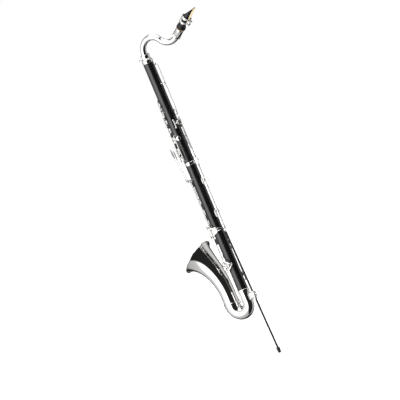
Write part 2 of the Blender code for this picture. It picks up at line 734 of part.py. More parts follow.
def mouthpiece(resin, cane, plate):
    base = mouthpiece_base()
    place = frame_along(base, MOUTH_AXIS, REED_SIDE_UP)
    length = MOUTHPIECE_LENGTH
    socket = NECK_R + GAP + MOUTHPIECE_CORK + GAP
    chamber = 0.0072
    body = turned("mouthpiece", [
        (0.0, length), (MOUTHPIECE_R * 0.86, length), (MOUTHPIECE_R, length * 0.5),
        (MOUTHPIECE_R, 0.011), (MOUTHPIECE_BASE_R, 0.009), (MOUTHPIECE_BASE_R, 0.0),
        (socket, 0.0), (socket, MOUTHPIECE_SOCKET), (chamber, MOUTHPIECE_SOCKET),
        (chamber, length * 0.58), (0.0, length * 0.58)], 24, closed=False)
    slope_low = Vector((MOUTHPIECE_R, 0, length * 0.48))
    slope_high = Vector((-TABLE_DEPTH + 0.0016, 0, length))
    run = slope_high - slope_low
    beak = frame_along(slope_low + run / 2, run, Vector((1, 0, 0)))
    beak_cut = block("beak", (0.03, 0.06, run.length * 1.6), beak @ Matrix.Translation((0.015, 0, 0)))
    table_start = length * 0.20
    table_cut = block("table", (0.03, 0.06, length), Matrix.Translation(
        (-TABLE_DEPTH - 0.015, 0, table_start + length / 2)))
    window = block("window", (0.0040, 0.0116, length * 0.36),
                   Matrix.Translation((-TABLE_DEPTH + 0.0012, 0, length * 0.715)))
    cut(body, [beak_cut, table_cut, window])
    body.data.transform(place)
    pivot = base.copy()
    finish(body, "mouthpiece", resin, pivot)

    reed_end = length - 0.0004
    reed_start = reed_end - REED_LENGTH

    def shape(work):
        bmesh.ops.create_cube(work, size=1.0)
        bmesh.ops.subdivide_edges(work, edges=[e for e in work.edges if abs(
            (e.verts[0].co - e.verts[1].co).normalized().z) > 0.9], cuts=1)
        bmesh.ops.scale(work, verts=work.verts, vec=(REED_THICK, REED_WIDTH, REED_LENGTH))
        for vert in work.verts:
            if vert.co.x < 0 and vert.co.z > REED_LENGTH * 0.4:
                vert.co.x = REED_THICK / 2 - 0.0004
        bmesh.ops.translate(work, verts=work.verts, vec=(
            -TABLE_DEPTH - GAP - REED_THICK / 2, 0, reed_start + REED_LENGTH / 2))
        bmesh.ops.transform(work, verts=work.verts, matrix=place)
    finish(mesh_from("reed", shape), "reed", cane, pivot.copy())
    ligature(plate, place, pivot)


def ligature(plate, place, pivot):
    """Band round the reed and mouthpiece, drawn together by two screws on the reed's side."""
    shift = 0.0012
    inner = MOUTHPIECE_R + GAP + shift
    wall = 0.0009
    low = 0.0235
    high = 0.0475
    centre = place @ Matrix.Translation((-shift, 0, 0))
    lug_x = -inner - wall - 0.0022
    screw_r = 0.0013
    band = tube("band", inner + wall, inner, low, high, 24, centre)
    lugs = []
    drills = []
    for z in (low + 0.006, high - 0.006):
        for side in (-1, 1):
            lugs.append(block("lug", (0.0064, 0.0030, 0.0060),
                              centre @ Matrix.Translation((lug_x + 0.0004, side * 0.0034, z))))
        drills.append(rod("drill", centre @ Vector((lug_x - 0.0004, -0.02, z)),
                          centre @ Vector((lug_x - 0.0004, 0.02, z)), screw_r + GAP, 8))
    fuse(band, lugs)
    finish(cut(band, drills), "ligature_band", plate, pivot.copy())
    for label, z in (("lower", low + 0.006), ("upper", high - 0.006)):
        start = centre @ Vector((lug_x - 0.0004, -0.0070, z))
        neck_end = centre @ Vector((lug_x - 0.0004, 0.0085, z))
        end = centre @ Vector((lug_x - 0.0004, 0.0150, z))
        screw = fuse(rod("shank", start, neck_end, screw_r, 8), [
            rod("head", centre @ Vector((lug_x - 0.0004, 0.0070, z)), end, 0.0034, 12)])
        finish(screw, "ligature_screw_" + label, plate, start)


# Fixed fittings ---------------------------------------------------------------------------------

def thumb_rest(plate):
    seat = radial(BACK, BODY_R + GAP + 0.0012, down(lower(0.1775)))
    place = frame_along(seat, Vector((0, 0, 1)), outward(BACK))
    base = block("base", (0.0024, 0.012, 0.027), place)
    hook = block("hook", (0.014, 0.012, 0.0028), place @ Matrix.Translation((0.0068, 0, 0.0085)))
    lip = block("lip", (0.0026, 0.012, 0.008), place @ Matrix.Translation((0.0130, 0, 0.0060)))
    finish(fuse(base, [hook, lip]), "thumb_rest", plate)


def strap_ring(plate):
    seat = radial(BACK, BODY_R + GAP + 0.0014, down(lower(0.0625)))
    place = frame_along(seat, Vector((0, 0, 1)), outward(BACK))
    base = block("base", (0.0028, 0.009, 0.026), place)
    stem = block("stem", (0.0060, 0.0030, 0.0070), place @ Matrix.Translation((0.0030, 0, 0)))
    ring_r = 0.0085
    wire_r = 0.0016
    circle = [(ring_r + wire_r * cos(a), -wire_r * sin(a)) for a in [2 * pi * k / 6 for k in range(6)]]
    side = frame_along(place @ Vector((0.0045 + ring_r, 0, 0)), tangent(BACK))
    finish(fuse(base, [stem, turned("loop", circle, 16, side)]), "strap_ring", plate)


def guard_path(start, end, distance, steps=5):
    """Points round the body from one (angle, s) to another at one distance."""
    return [radial(start[0] + (end[0] - start[0]) * k / steps, distance,
                   down(start[1] + (end[1] - start[1]) * k / steps)) for k in range(steps + 1)]


def key_guard(name, corners, feet, plate, distance=GUARD_R):
    """Wire cage over a large cup: a closed line round the corners on legs at the feet."""
    route = []
    for corner, following in zip(corners, corners[1:] + corners[:1]):
        route += guard_path(corner, following, distance)[:-1]
    rail = wire("rail", route, 0.0014, loop=True)
    pieces = []
    for foot in feet:
        low = radial(foot[0], BODY_R + GAP, down(foot[1]))
        side = outward(foot[0])
        pieces.append(rod("leg", low + side * 0.0004, radial(foot[0], distance, down(foot[1])), 0.0013, 8))
        pieces.append(rod("foot", low, low + side * 0.0014, 0.0032, 12))
    return finish(fuse(rail, pieces), name, plate)


# Keys -------------------------------------------------------------------------------------------

def touch_plate(angle, s, distance, size, turn=None):
    """Flat touch piece facing outward: thickness, width and length."""
    side = outward(angle if turn is None else turn)
    return block("touch", size, frame_along(radial(angle, distance, down(s)), Vector((0, 0, 1)), side))


def long_touch(line, angle, post_s, tip_s, knee_height, tip_height):
    """Little-finger lever: a bent arm off the top of a pivot tube, up to a long touch."""
    start = line_point(line, post_s + POST_R + GAP + LEVER_R)
    rise = radial(line, LINE_R + 0.0062, down(post_s + POST_R + GAP + LEVER_R))
    knee = radial(angle, BODY_R + knee_height, down(post_s - 0.007))
    tip = radial(angle, BODY_R + tip_height, down(tip_s))
    heading = (tip - knee).normalized()
    plate = block("touch", (0.0022, 0.0070, 0.034),
                  frame_along(tip - heading * 0.017, heading, outward(angle)))
    return [wire("lever", [start, rise, knee, tip - heading * 0.004], LEVER_R), plate]


def bridge_tab(line, start_s, swing, distance):
    """Finger of a bridge key that reaches across the joint beside its end post."""
    side = line + swing
    return [wire("tab", [line_point(line, start_s), radial(side, LINE_R + 0.001, down(start_s)),
                         radial(side, distance, down(BRIDGE_S))]),
            touch_plate(side, BRIDGE_S, distance, (0.0018, 0.006, 0.008))]


def upper_keys(plate):
    seesaw_key("register_key", REGISTER, REGISTER_PIVOT, 0.181, plate, (0.011, 0.018),
               REGISTER_PIVOT_R + 0.0032, REGISTER_PIVOT_R, 0.0036)
    seesaw_key("throat_a_key", THROAT_A, THROAT_A_PIVOT, 0.163, plate, (0.010, 0.012))
    seesaw_key("throat_g_sharp_key", THROAT_GS, THROAT_GS_PIVOT, 0.188, plate, (0.009, 0.014))
    for index, (hole, pivot_s, touch_s) in enumerate(zip(TRILLS, TRILL_PIVOTS, TRILL_TOUCHES), 1):
        seesaw_key("side_key_" + str(index), hole, pivot_s, touch_s, plate, (0.0064, 0.020))
    for index, hole in enumerate(LH_PLATES, 1):
        rod_key("left_plate_" + str(index), STACK_LINE, STACK_POSTS[index - 1], STACK_POSTS[index],
                hole, plate, lifted=PLATE_OPEN)
    rod_key("sliver_key", STACK_LINE, STACK_POSTS[3], STACK_POSTS[4], SLIVER, plate, [
        wire("arm", [line_point(STACK_LINE, 0.306), radial(STACK_LINE + 20, TOUCH_R - 0.0002, down(0.306))]),
        touch_plate(STACK_LINE + 22, 0.306, TOUCH_R, (0.002, 0.006, 0.011))])
    rod_key("c_sharp_key", C_SHARP_LINE, C_SHARP_POSTS[0], C_SHARP_POSTS[1], C_SHARP, plate, [
        wire("arm", [line_point(C_SHARP_LINE, 0.322), radial(C_SHARP_LINE - 20, TOUCH_R, down(0.322))]),
        touch_plate(C_SHARP_LINE - 22, 0.322, TOUCH_R + 0.0002, (0.002, 0.008, 0.020))])
    rod_key("thumb_key", THUMB_LINE, THUMB_POSTS[0], THUMB_POSTS[1], THUMB, plate, lifted=PLATE_OPEN)
    rod_key("bridge_key_upper", BRIDGE_LINE, BRIDGE_POSTS[0], BRIDGE_POSTS[1], VENT_BRIDGE, plate,
            bridge_tab(BRIDGE_LINE, UPPER_LENGTH - 0.012, 13, LINE_R + 0.0017), lifted=TRILL_OPEN)
    rod_key("octave_link_upper", LINK_LINE, LINK_UPPER_POSTS[0], LINK_UPPER_POSTS[1], LINK_VENT, plate,
            bridge_tab(LINK_LINE, UPPER_LENGTH - 0.015, 13, LINE_R + 0.0017), lifted=TRILL_OPEN)


def lower_keys(plate):
    rod_key("bridge_key_lower", RH_LINE, BRIDGE_LOWER_POSTS[0], BRIDGE_LOWER_POSTS[1], VENT_LOWER, plate,
            bridge_tab(RH_LINE, lower(0.0125), 21, LINE_R + 0.0055), lifted=PLATE_OPEN)
    rod_key("octave_link_lower", LINK_LINE, LINK_LOWER_POSTS[0], LINK_LOWER_POSTS[1], None, plate,
            bridge_tab(LINK_LINE, lower(0.0125), 13, LINE_R + 0.0055))
    for index, hole in enumerate(RH_PLATES, 1):
        rod_key("right_plate_" + str(index), RH_LINE, RH_POSTS[index - 1], RH_POSTS[index], hole, plate,
                lifted=PLATE_OPEN)
    rod_key("left_key_e_b", EB_LINE, EB_POSTS[0], EB_POSTS[1], E_B, plate,
            long_touch(EB_LINE, -38.0, EB_POSTS[0], lower(-0.0715), 0.0185, 0.0265), PLATE_OPEN)
    reach = [line_point(FC_LINE, F_C.s - 0.027), radial(FC_LINE + 9, LINE_R + 0.0017, down(F_C.s - 0.015)),
             F_C.top(0.0006)]
    rod_key("left_key_f_c", FC_LINE, FC_POSTS[0], FC_POSTS[1], F_C, plate,
            long_touch(FC_LINE, -20.0, FC_POSTS[0], lower(-0.0655), 0.0175, 0.0250) + [wire("arm", reach)],
            PLATE_OPEN, own_arm=False)
    rod_key("left_key_f_sharp_c_sharp", FS_LINE, FS_POSTS[0], FS_POSTS[1], None, plate,
            long_touch(FS_LINE, -54.0, FS_POSTS[0], lower(-0.0575), 0.0185, 0.0255))
    rod_key("right_key_a_flat_e_flat", RH_LINE, RH_POSTS[3], RH_POSTS[4], AB_EB, plate, [
        wire("arm", [line_point(RH_LINE, lower(0.2465)), radial(RH_LINE - 19, TOUCH_R, down(lower(0.2465)))]),
        touch_plate(RH_LINE - 22, lower(0.2475), TOUCH_R + 0.0002, (0.002, 0.009, 0.012))])
    s = lower(0.2825)
    rod_key("right_key_f_sharp_c_sharp", LOWER_RIGHT_LINE, LOWER_RIGHT_POSTS[0], LOWER_RIGHT_POSTS[1],
            FS_CS, plate, [
        wire("arm", [line_point(LOWER_RIGHT_LINE, s), radial(LOWER_RIGHT_LINE - 20, TOUCH_R, down(s))]),
        touch_plate(LOWER_RIGHT_LINE - 23, s, TOUCH_R + 0.0002, (0.002, 0.010, 0.012))])
    for index, label in enumerate(("f_c", "e_b")):
        s = (RIGHT_POSTS[index] + RIGHT_POSTS[index + 1]) / 2
        rod_key("right_key_" + label, RIGHT_LINE, RIGHT_POSTS[index], RIGHT_POSTS[index + 1], None, plate, [
            wire("arm", [line_point(RIGHT_LINE, s), radial(RIGHT_LINE + 24, TOUCH_R - 0.0004, down(s))]),
            touch_plate(RIGHT_LINE + 26, s, TOUCH_R - 0.0002, (0.002, 0.009, 0.012))])
    s = lower(0.2995)
    rod_key("right_key_low_e_flat", RIGHT_LINE, RIGHT_POSTS[2], RIGHT_POSTS[3], LOW_EB, plate, [
        wire("arm", [line_point(RIGHT_LINE, s), radial(RIGHT_LINE + 24, TOUCH_R - 0.0004, down(s))]),
        touch_plate(RIGHT_LINE + 28, s, TOUCH_R - 0.0002, (0.002, 0.009, 0.012))], PLATE_OPEN)


def main():
    for obj in list(bpy.data.objects):
        bpy.data.objects.remove(obj)
    bpy.context.scene.collection.children.link(COLLECTION)
    resin = material("black_resin", (0.02, 0.02, 0.022), 0.22, 0.0)
    plate = material("nickel_plate", (0.78, 0.78, 0.77), 0.15, 1.0)
    steel = material("blued_steel", (0.16, 0.16, 0.17), 0.3, 1.0)
    cane = material("reed_cane", (0.80, 0.66, 0.42), 0.6, 0.0)
    cork = material("tenon_cork", (0.55, 0.37, 0.2), 0.8, 0.0)
    rubber = material("peg_rubber", (0.03, 0.03, 0.03), 0.7, 0.0)

    upper_joint(resin)
    lower_joint(resin)
    body_rings(plate, cork)
    bow(plate)
    bell(plate)
    bell_brace(plate)
    floor_peg(plate, steel, rubber)
    neck(plate, cork)
    mouthpiece(resin, cane, plate)
    thumb_rest(plate)
    strap_ring(plate)
    triangle = [(-57.0, F_C.s - 0.019), (-57.0, F_C.s + 0.019), (62.0, F_C.s)]
    key_guard("key_guard_triangle", triangle, triangle, plate)
    diamond = [(-14.0, E_B.s - 0.019), (34.0, E_B.s), (-14.0, E_B.s + 0.020), (-62.0, E_B.s)]
    key_guard("key_guard_diamond", diamond, diamond[1::2], plate)
    upper_keys(plate)
    lower_keys(plate)
    foot = peg_foot()
    for obj in COLLECTION.objects:
        obj.location -= foot
    print("objects", len(COLLECTION.objects))


main()
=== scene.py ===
"""Looks of the low E-flat bass clarinet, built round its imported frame.

The body's bore runs up +Z, the bell and finger plates face -Y, the player's left hand side is +X.
Heights along the body are counted down from the top of the black upper joint.
"""
import json
from math import cos, pi, radians, sin, sqrt

import bmesh
import bpy
from mathutils import Matrix, Vector

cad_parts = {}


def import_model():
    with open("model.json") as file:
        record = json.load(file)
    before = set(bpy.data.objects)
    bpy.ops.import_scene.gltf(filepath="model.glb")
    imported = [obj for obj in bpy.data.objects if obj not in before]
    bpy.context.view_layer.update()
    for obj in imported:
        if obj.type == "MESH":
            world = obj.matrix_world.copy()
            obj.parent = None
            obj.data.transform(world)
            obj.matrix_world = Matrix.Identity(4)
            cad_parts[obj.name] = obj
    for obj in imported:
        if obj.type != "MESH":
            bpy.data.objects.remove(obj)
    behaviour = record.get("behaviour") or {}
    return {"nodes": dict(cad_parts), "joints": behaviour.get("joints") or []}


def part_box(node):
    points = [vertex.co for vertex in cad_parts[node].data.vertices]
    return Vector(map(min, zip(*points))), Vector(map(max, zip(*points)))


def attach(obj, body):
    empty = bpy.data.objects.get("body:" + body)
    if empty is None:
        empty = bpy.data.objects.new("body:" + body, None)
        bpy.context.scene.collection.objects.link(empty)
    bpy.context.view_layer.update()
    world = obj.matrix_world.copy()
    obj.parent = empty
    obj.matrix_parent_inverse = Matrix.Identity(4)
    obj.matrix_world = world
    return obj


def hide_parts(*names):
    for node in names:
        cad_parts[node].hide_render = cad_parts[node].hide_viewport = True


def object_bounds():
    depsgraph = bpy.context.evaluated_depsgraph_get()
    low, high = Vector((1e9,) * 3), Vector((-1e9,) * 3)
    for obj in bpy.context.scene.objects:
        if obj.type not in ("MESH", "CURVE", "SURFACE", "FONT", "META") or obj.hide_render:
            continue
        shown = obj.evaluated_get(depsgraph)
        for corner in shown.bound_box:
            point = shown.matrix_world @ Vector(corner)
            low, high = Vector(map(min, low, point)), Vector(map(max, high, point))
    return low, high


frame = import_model()
cad_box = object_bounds()

# Sizes that the frame gives ----------------------------------------------------------------------
GAP = 0.0003
RING_PROUD = 0.0006
RING_SEAT = 0.0013

TOP_RING_LOW, TOP_RING_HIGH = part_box("top_ring")
MIDDLE_RING_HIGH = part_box("middle_ring")[1]
BOTTOM_RING_LOW, BOTTOM_RING_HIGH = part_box("bottom_ring")
BELL_RING_LOW, BELL_RING_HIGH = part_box("bell_ring")
AXIS = Vector(((TOP_RING_LOW.x + TOP_RING_HIGH.x) / 2, (TOP_RING_LOW.y + TOP_RING_HIGH.y) / 2, 0))
BODY_R = (TOP_RING_HIGH.x - TOP_RING_LOW.x) / 2 - RING_PROUD
HEAD_Z = TOP_RING_LOW.z - GAP                       # top of the black upper joint
WOOD_TOP_Z = TOP_RING_HIGH.z
RING_HEIGHT = WOOD_TOP_Z - HEAD_Z
UPPER_LENGTH = HEAD_Z - MIDDLE_RING_HIGH.z - GAP
BODY_FOOT_Z = BOTTOM_RING_HIGH.z + GAP
BOW_BEND_R = (AXIS.y - (BELL_RING_LOW.y + BELL_RING_HIGH.y) / 2) / 2
BOW_JOINT_Z = (BELL_RING_LOW.z + BELL_RING_HIGH.z) / 2

# Sizes of the design -----------------------------------------------------------------------------
BODY_WALL = 0.0057
BORE_R = BODY_R - BODY_WALL
TENON_R = BORE_R + 0.0016
TENON_LENGTH = 0.021
CORK_THICK = 0.0009
BOW_START_R = BODY_R - GAP
BOW_END_R = 0.0255
BEND_Z = BOW_JOINT_Z - 0.008
SHEET = 0.001
BELL_STRAIGHT = 0.034
BELL_ARC_R = 0.233
BELL_TILT = 40.0
BELL_RIM_R = 0.058
BELL_BEAD_R = 0.0022
NECK_TENON_WALL = 0.0014
NECK_R = BORE_R - NECK_TENON_WALL - 2 * GAP
NECK_RISE = 0.0032
NECK_BEND_R = 0.043
NECK_BEND_END = -55.0
NECK_DIP_R = 0.045
NECK_HEADING = 34.5
NECK_SLEEVE_LENGTH = 0.032
NECK_SLEEVE_WALL = 0.0032
NECK_CORK_SHOWING = 0.003
NECK_SEAT = 0.014
RECEIVER_HEIGHT = 0.0165
RECEIVER_WALL = 0.0022
MOUTHPIECE_LENGTH = 0.091
MOUTHPIECE_CORK = 0.0016
MOUTHPIECE_R = NECK_R + MOUTHPIECE_CORK + 0.0018 + 2 * GAP
MOUTHPIECE_BASE_R = MOUTHPIECE_R + 0.0014
MOUTHPIECE_SOCKET = 0.018
TABLE_DEPTH = MOUTHPIECE_R - 0.0042
REED_THICK = 0.003
REED_WIDTH = 0.015
REED_LENGTH = 0.070
PEG_R = 0.0032
PEG_TIP_R = 0.0058
PEG_TIP_LENGTH = 0.018
POST_R = 0.0019
BARREL_R = 0.0019
ROD_R = 0.0011                                      # steel rod inside the pivot tubes
RISE = 0.0022
CUP_THICK = 0.0042
ARM_R = 0.0014
LEVER_R = 0.0016
LINE_R = BODY_R + 0.0070
SEESAW_R = BODY_R + 0.0047
LEVER_LINE_R = BODY_R + 0.0071
REGISTER_PIVOT_R = BODY_R + 0.0087
TOUCH_R = BODY_R + 0.0097
GUARD_R = BODY_R + 0.0143
SEESAW_WIDTH = 0.0074
PLATE_OPEN = 8.0
TRILL_OPEN = 5.0
FRONT = -90.0
BACK = 90.0
SPRING_R = 0.00042
SHARP_ANGLE = 38.0                                   # edges sharper than this are not smoothed


# Paints ------------------------------------------------------------------------------------------

def node_paint(name, color, roughness, metallic=0.0):
    """A Principled material, with its nodes and the coordinates of the object."""
    paint = bpy.data.materials.new(name)
    paint.use_nodes = True
    tree = paint.node_tree
    shader = tree.nodes["Principled BSDF"]
    shader.inputs["Base Color"].default_value = (*color, 1.0)
    shader.inputs["Roughness"].default_value = roughness
    shader.inputs["Metallic"].default_value = metallic
    place = tree.nodes.new("ShaderNodeTexCoord").outputs["Object"]
    return paint, tree, shader, place


def noise(tree, place, scale, detail=3.0, stretch=(1, 1, 1), turn=(0, 0, 0)):
    mapping = tree.nodes.new("ShaderNodeMapping")
    mapping.inputs["Scale"].default_value = stretch
    mapping.inputs["Rotation"].default_value = turn
    texture = tree.nodes.new("ShaderNodeTexNoise")
    texture.inputs["Scale"].default_value = scale
    texture.inputs["Detail"].default_value = detail
    tree.links.new(place, mapping.inputs["Vector"])
    tree.links.new(mapping.outputs["Vector"], texture.inputs["Vector"])
    return texture.outputs["Fac"]


def levels(tree, factor, stops):
    """Colours or grey levels along a factor."""
    node = tree.nodes.new("ShaderNodeValToRGB")
    band = node.color_ramp
    while len(band.elements) < len(stops):
        band.elements.new(0.5)
    for element, (position, color) in zip(band.elements, stops):
        element.position = position
        element.color = (*color, 1.0) if isinstance(color, tuple) else (color, color, color, 1.0)
    tree.links.new(factor, node.inputs["Fac"])
    return node.outputs["Color"]


def ramp(tree, factor, stops, target):
    """Colours or grey levels along a factor, into a socket."""
    tree.links.new(levels(tree, factor, stops), target)


def bump(tree, factor, shader, strength, distance):
    node = tree.nodes.new("ShaderNodeBump")
    node.inputs["Strength"].default_value = strength
    node.inputs["Distance"].default_value = distance
    tree.links.new(factor, node.inputs["Height"])
    tree.links.new(node.outputs["Normal"], shader.inputs["Normal"])


def textured(name, color, roughness, layers, metallic=0.0, specular=None):
    """A paint whose noise layers each drive sockets of the shader, or its bump."""
    paint, tree, shader, place = node_paint(name, color, roughness, metallic)
    if specular is not None:
        shader.inputs["Specular IOR Level"].default_value = specular
    for texture, uses in layers:
        factor = noise(tree, place, *texture)
        for use, values in uses.items():
            if use == "Bump":
                bump(tree, factor, shader, *values)
            else:
                ramp(tree, factor, values, shader.inputs[use])
    return paint


def nickel_paint():
    """Bright nickel with polishing marks, faint clouding and finger marks."""
    return textured("nickel_plate", (0.86, 0.85, 0.83), 0.08, [
        ((38.0, 4.0), {"Roughness": [(0.30, 0.055), (0.55, 0.085), (0.75, 0.15)]}),
        ((17.0, 2.0), {"Base Color": [(0.3, (0.85, 0.845, 0.835)), (0.7, (0.78, 0.77, 0.75))]}),
        ((700.0, 2.0, (1.0, 1.0, 0.12), (0.3, 0.2, 0.0)), {"Bump": (0.05, 0.00005)})], 1.0)


def resin_paint():
    """Black resin, turned and polished along its length, with a fine grain."""
    grain = [(0.35, (0.003, 0.003, 0.0035)), (0.6, (0.006, 0.006, 0.006)),
             (0.8, (0.014, 0.013, 0.012))]
    return textured("black_resin", (0.012, 0.012, 0.013), 0.24, [
        ((420.0, 4.0, (1.0, 1.0, 0.035)), {"Base Color": grain, "Bump": (0.10, 0.00008)}),
        ((55.0, 3.0, (1.0, 1.0, 0.3)), {"Roughness": [(0.3, 0.20), (0.7, 0.34)]})], specular=0.8)


def rubber_paint():
    """Moulded hard rubber of the mouthpiece, with polishing haze."""
    return textured("hard_rubber", (0.014, 0.013, 0.012), 0.16, [
        ((160.0, 4.0), {"Roughness": [(0.3, 0.12), (0.7, 0.26)], "Bump": (0.04, 0.00008)}),
        ((60.0, 2.0),
         {"Base Color": [(0.3, (0.004, 0.004, 0.004)), (0.7, (0.010, 0.009, 0.007))]})],
        specular=0.35)


def steel_paint():
    """Dark satin steel, brushed along its length."""
    tint = [(0.3, (0.035, 0.037, 0.045)), (0.7, (0.070, 0.069, 0.070))]
    return textured("blued_steel", (0.05, 0.05, 0.055), 0.3, [
        ((900.0, 3.0, (1.0, 1.0, 0.02)), {"Roughness": [(0.3, 0.22), (0.7, 0.42)],
                                          "Bump": (0.12, 0.00005)}),
        ((90.0, 2.0, (1.0, 1.0, 0.2)), {"Base Color": tint})], 1.0)


def cane_paint():
    """Cane with fibres along the reed."""
    paint, tree, shader, place = node_paint("reed_cane", (0.80, 0.66, 0.42), 0.5)
    tilt = (radians(90.0 - NECK_HEADING), 0.0, 0.0)
    fibres = noise(tree, place, 1500.0, 3.0, (1.0, 1.0, 0.02), tilt)
    patches = noise(tree, place, 120.0, 3.0, (1.0, 1.0, 0.2), tilt)
    mix = tree.nodes.new("ShaderNodeMath")
    mix.operation = "MULTIPLY_ADD"
    mix.inputs[1].default_value = 0.55
    tree.links.new(fibres, mix.inputs[0])
    half = tree.nodes.new("ShaderNodeMath")
    half.operation = "MULTIPLY"
    half.inputs[1].default_value = 0.45
    tree.links.new(patches, half.inputs[0])
    tree.links.new(half.outputs[0], mix.inputs[2])
    ramp(tree, mix.outputs[0], [(0.35, (0.60, 0.43, 0.20)), (0.5, (0.80, 0.66, 0.40)),
                                (0.7, (0.90, 0.80, 0.57))], shader.inputs["Base Color"])
    ramp(tree, patches, [(0.3, 0.38), (0.7, 0.6)], shader.inputs["Roughness"])
    bump(tree, fibres, shader, 0.25, 0.00015)
    return paint


def cork_paint():
    """Natural cork: light cells with dark flecks and pits."""
    paint, tree, shader, place = node_paint("tenon_cork", (0.60, 0.40, 0.22), 0.8)
    cells = tree.nodes.new("ShaderNodeTexVoronoi")
    cells.inputs["Scale"].default_value = 900.0
    tree.links.new(place, cells.inputs["Vector"])
    flecks = noise(tree, place, 420.0, 5.0)
    ramp(tree, flecks, [(0.33, (0.22, 0.12, 0.06)), (0.45, (0.58, 0.38, 0.20)),
                        (0.75, (0.74, 0.54, 0.33))], shader.inputs["Base Color"])
    ramp(tree, flecks, [(0.3, 0.95), (0.7, 0.68)], shader.inputs["Roughness"])
    bump(tree, cells.outputs["Distance"], shader, 0.4, 0.0002)
    return paint


def peg_rubber_paint():
    """Matt black rubber with a moulded tooth."""
    return textured("peg_rubber", (0.02, 0.02, 0.02), 0.7, [
        ((1300.0, 3.0), {"Roughness": [(0.3, 0.82), (0.7, 0.55)], "Bump": (0.35, 0.0002)}),
        ((120.0, 4.0),
         {"Base Color": [(0.4, (0.014, 0.014, 0.014)), (0.8, (0.05, 0.048, 0.045))]})])


def leather_paint():
    """Pale pad skin with pores and a little yellowing."""
    return textured("pad_skin", (0.74, 0.66, 0.54), 0.55, [
        ((1600.0, 4.0), {"Roughness": [(0.3, 0.7), (0.7, 0.45)], "Bump": (0.3, 0.0001)}),
        ((150.0, 3.0), {"Base Color": [(0.3, (0.82, 0.75, 0.64)), (0.7, (0.62, 0.50, 0.36))]})])


NICKEL = nickel_paint()
RESIN = resin_paint()
HARD_RUBBER = rubber_paint()
STEEL = steel_paint()
CANE = cane_paint()
CORK = cork_paint()
PEG_RUBBER = peg_rubber_paint()
SKIN = leather_paint()


# Shapes ------------------------------------------------------------------------------------------

def down(s):
    """Height of a point s below the top of the black upper joint."""
    return HEAD_Z - s


def lower(t):
    """Distance below the black top of a point t below the top of the black lower joint."""
    return UPPER_LENGTH + RING_HEIGHT + t


def outward(angle):
    return Vector((cos(radians(angle)), sin(radians(angle)), 0.0))


def tangent(angle):
    return Vector((-sin(radians(angle)), cos(radians(angle)), 0.0))


def radial(angle, distance, z):
    """Point at an angle round the body's axis, counted from +X towards +Y."""
    return AXIS + outward(angle) * distance + Vector((0, 0, z))


def away(point):
    """Direction from the body's axis out to a point."""
    return (Vector((point.x, point.y, 0)) - AXIS).normalized()


def frame_along(start, direction, side=None):
    """Matrix whose local Z runs along direction from start, with local X near side."""
    axis = direction.normalized()
    side = side or (Vector((0, 0, 1)) if abs(axis.z) < 0.9 else Vector((0, 1, 0)))
    across = (side - axis * side.dot(axis)).normalized()
    return Matrix.Translation(start) @ Matrix((across, axis.cross(across),
                                               axis)).transposed().to_4x4()


def flowing(points, steps=6):
    """Points of a smooth curve through the given ones."""
    ends = [points[0] * 2 - points[1], *points, points[-1] * 2 - points[-2]]
    made = []
    for index in range(1, len(ends) - 2):
        a, b, c, d = ends[index - 1:index + 3]
        for step in range(steps):
            t = step / steps
            made.append(0.5 * ((2 * b) + (c - a) * t + (2 * a - 5 * b + 4 * c - d) * t * t
                               + (3 * b - a - 3 * c + d) * t ** 3))
    made.append(points[-1].copy())
    return made


def rounded(points, share=0.3, steps=5, closed=False):
    """A polyline with its corners rounded off by arcs."""
    made = []
    count = len(points)
    for index in range(count):
        here = points[index]
        if not closed and index in (0, count - 1):
            made.append(here.copy())
            continue
        before = here.lerp(points[index - 1], share)
        after = here.lerp(points[(index + 1) % count], share)
        for step in range(steps + 1):
            t = step / steps
            made.append(before * (1 - t) ** 2 + here * 2 * t * (1 - t) + after * t * t)
    return made


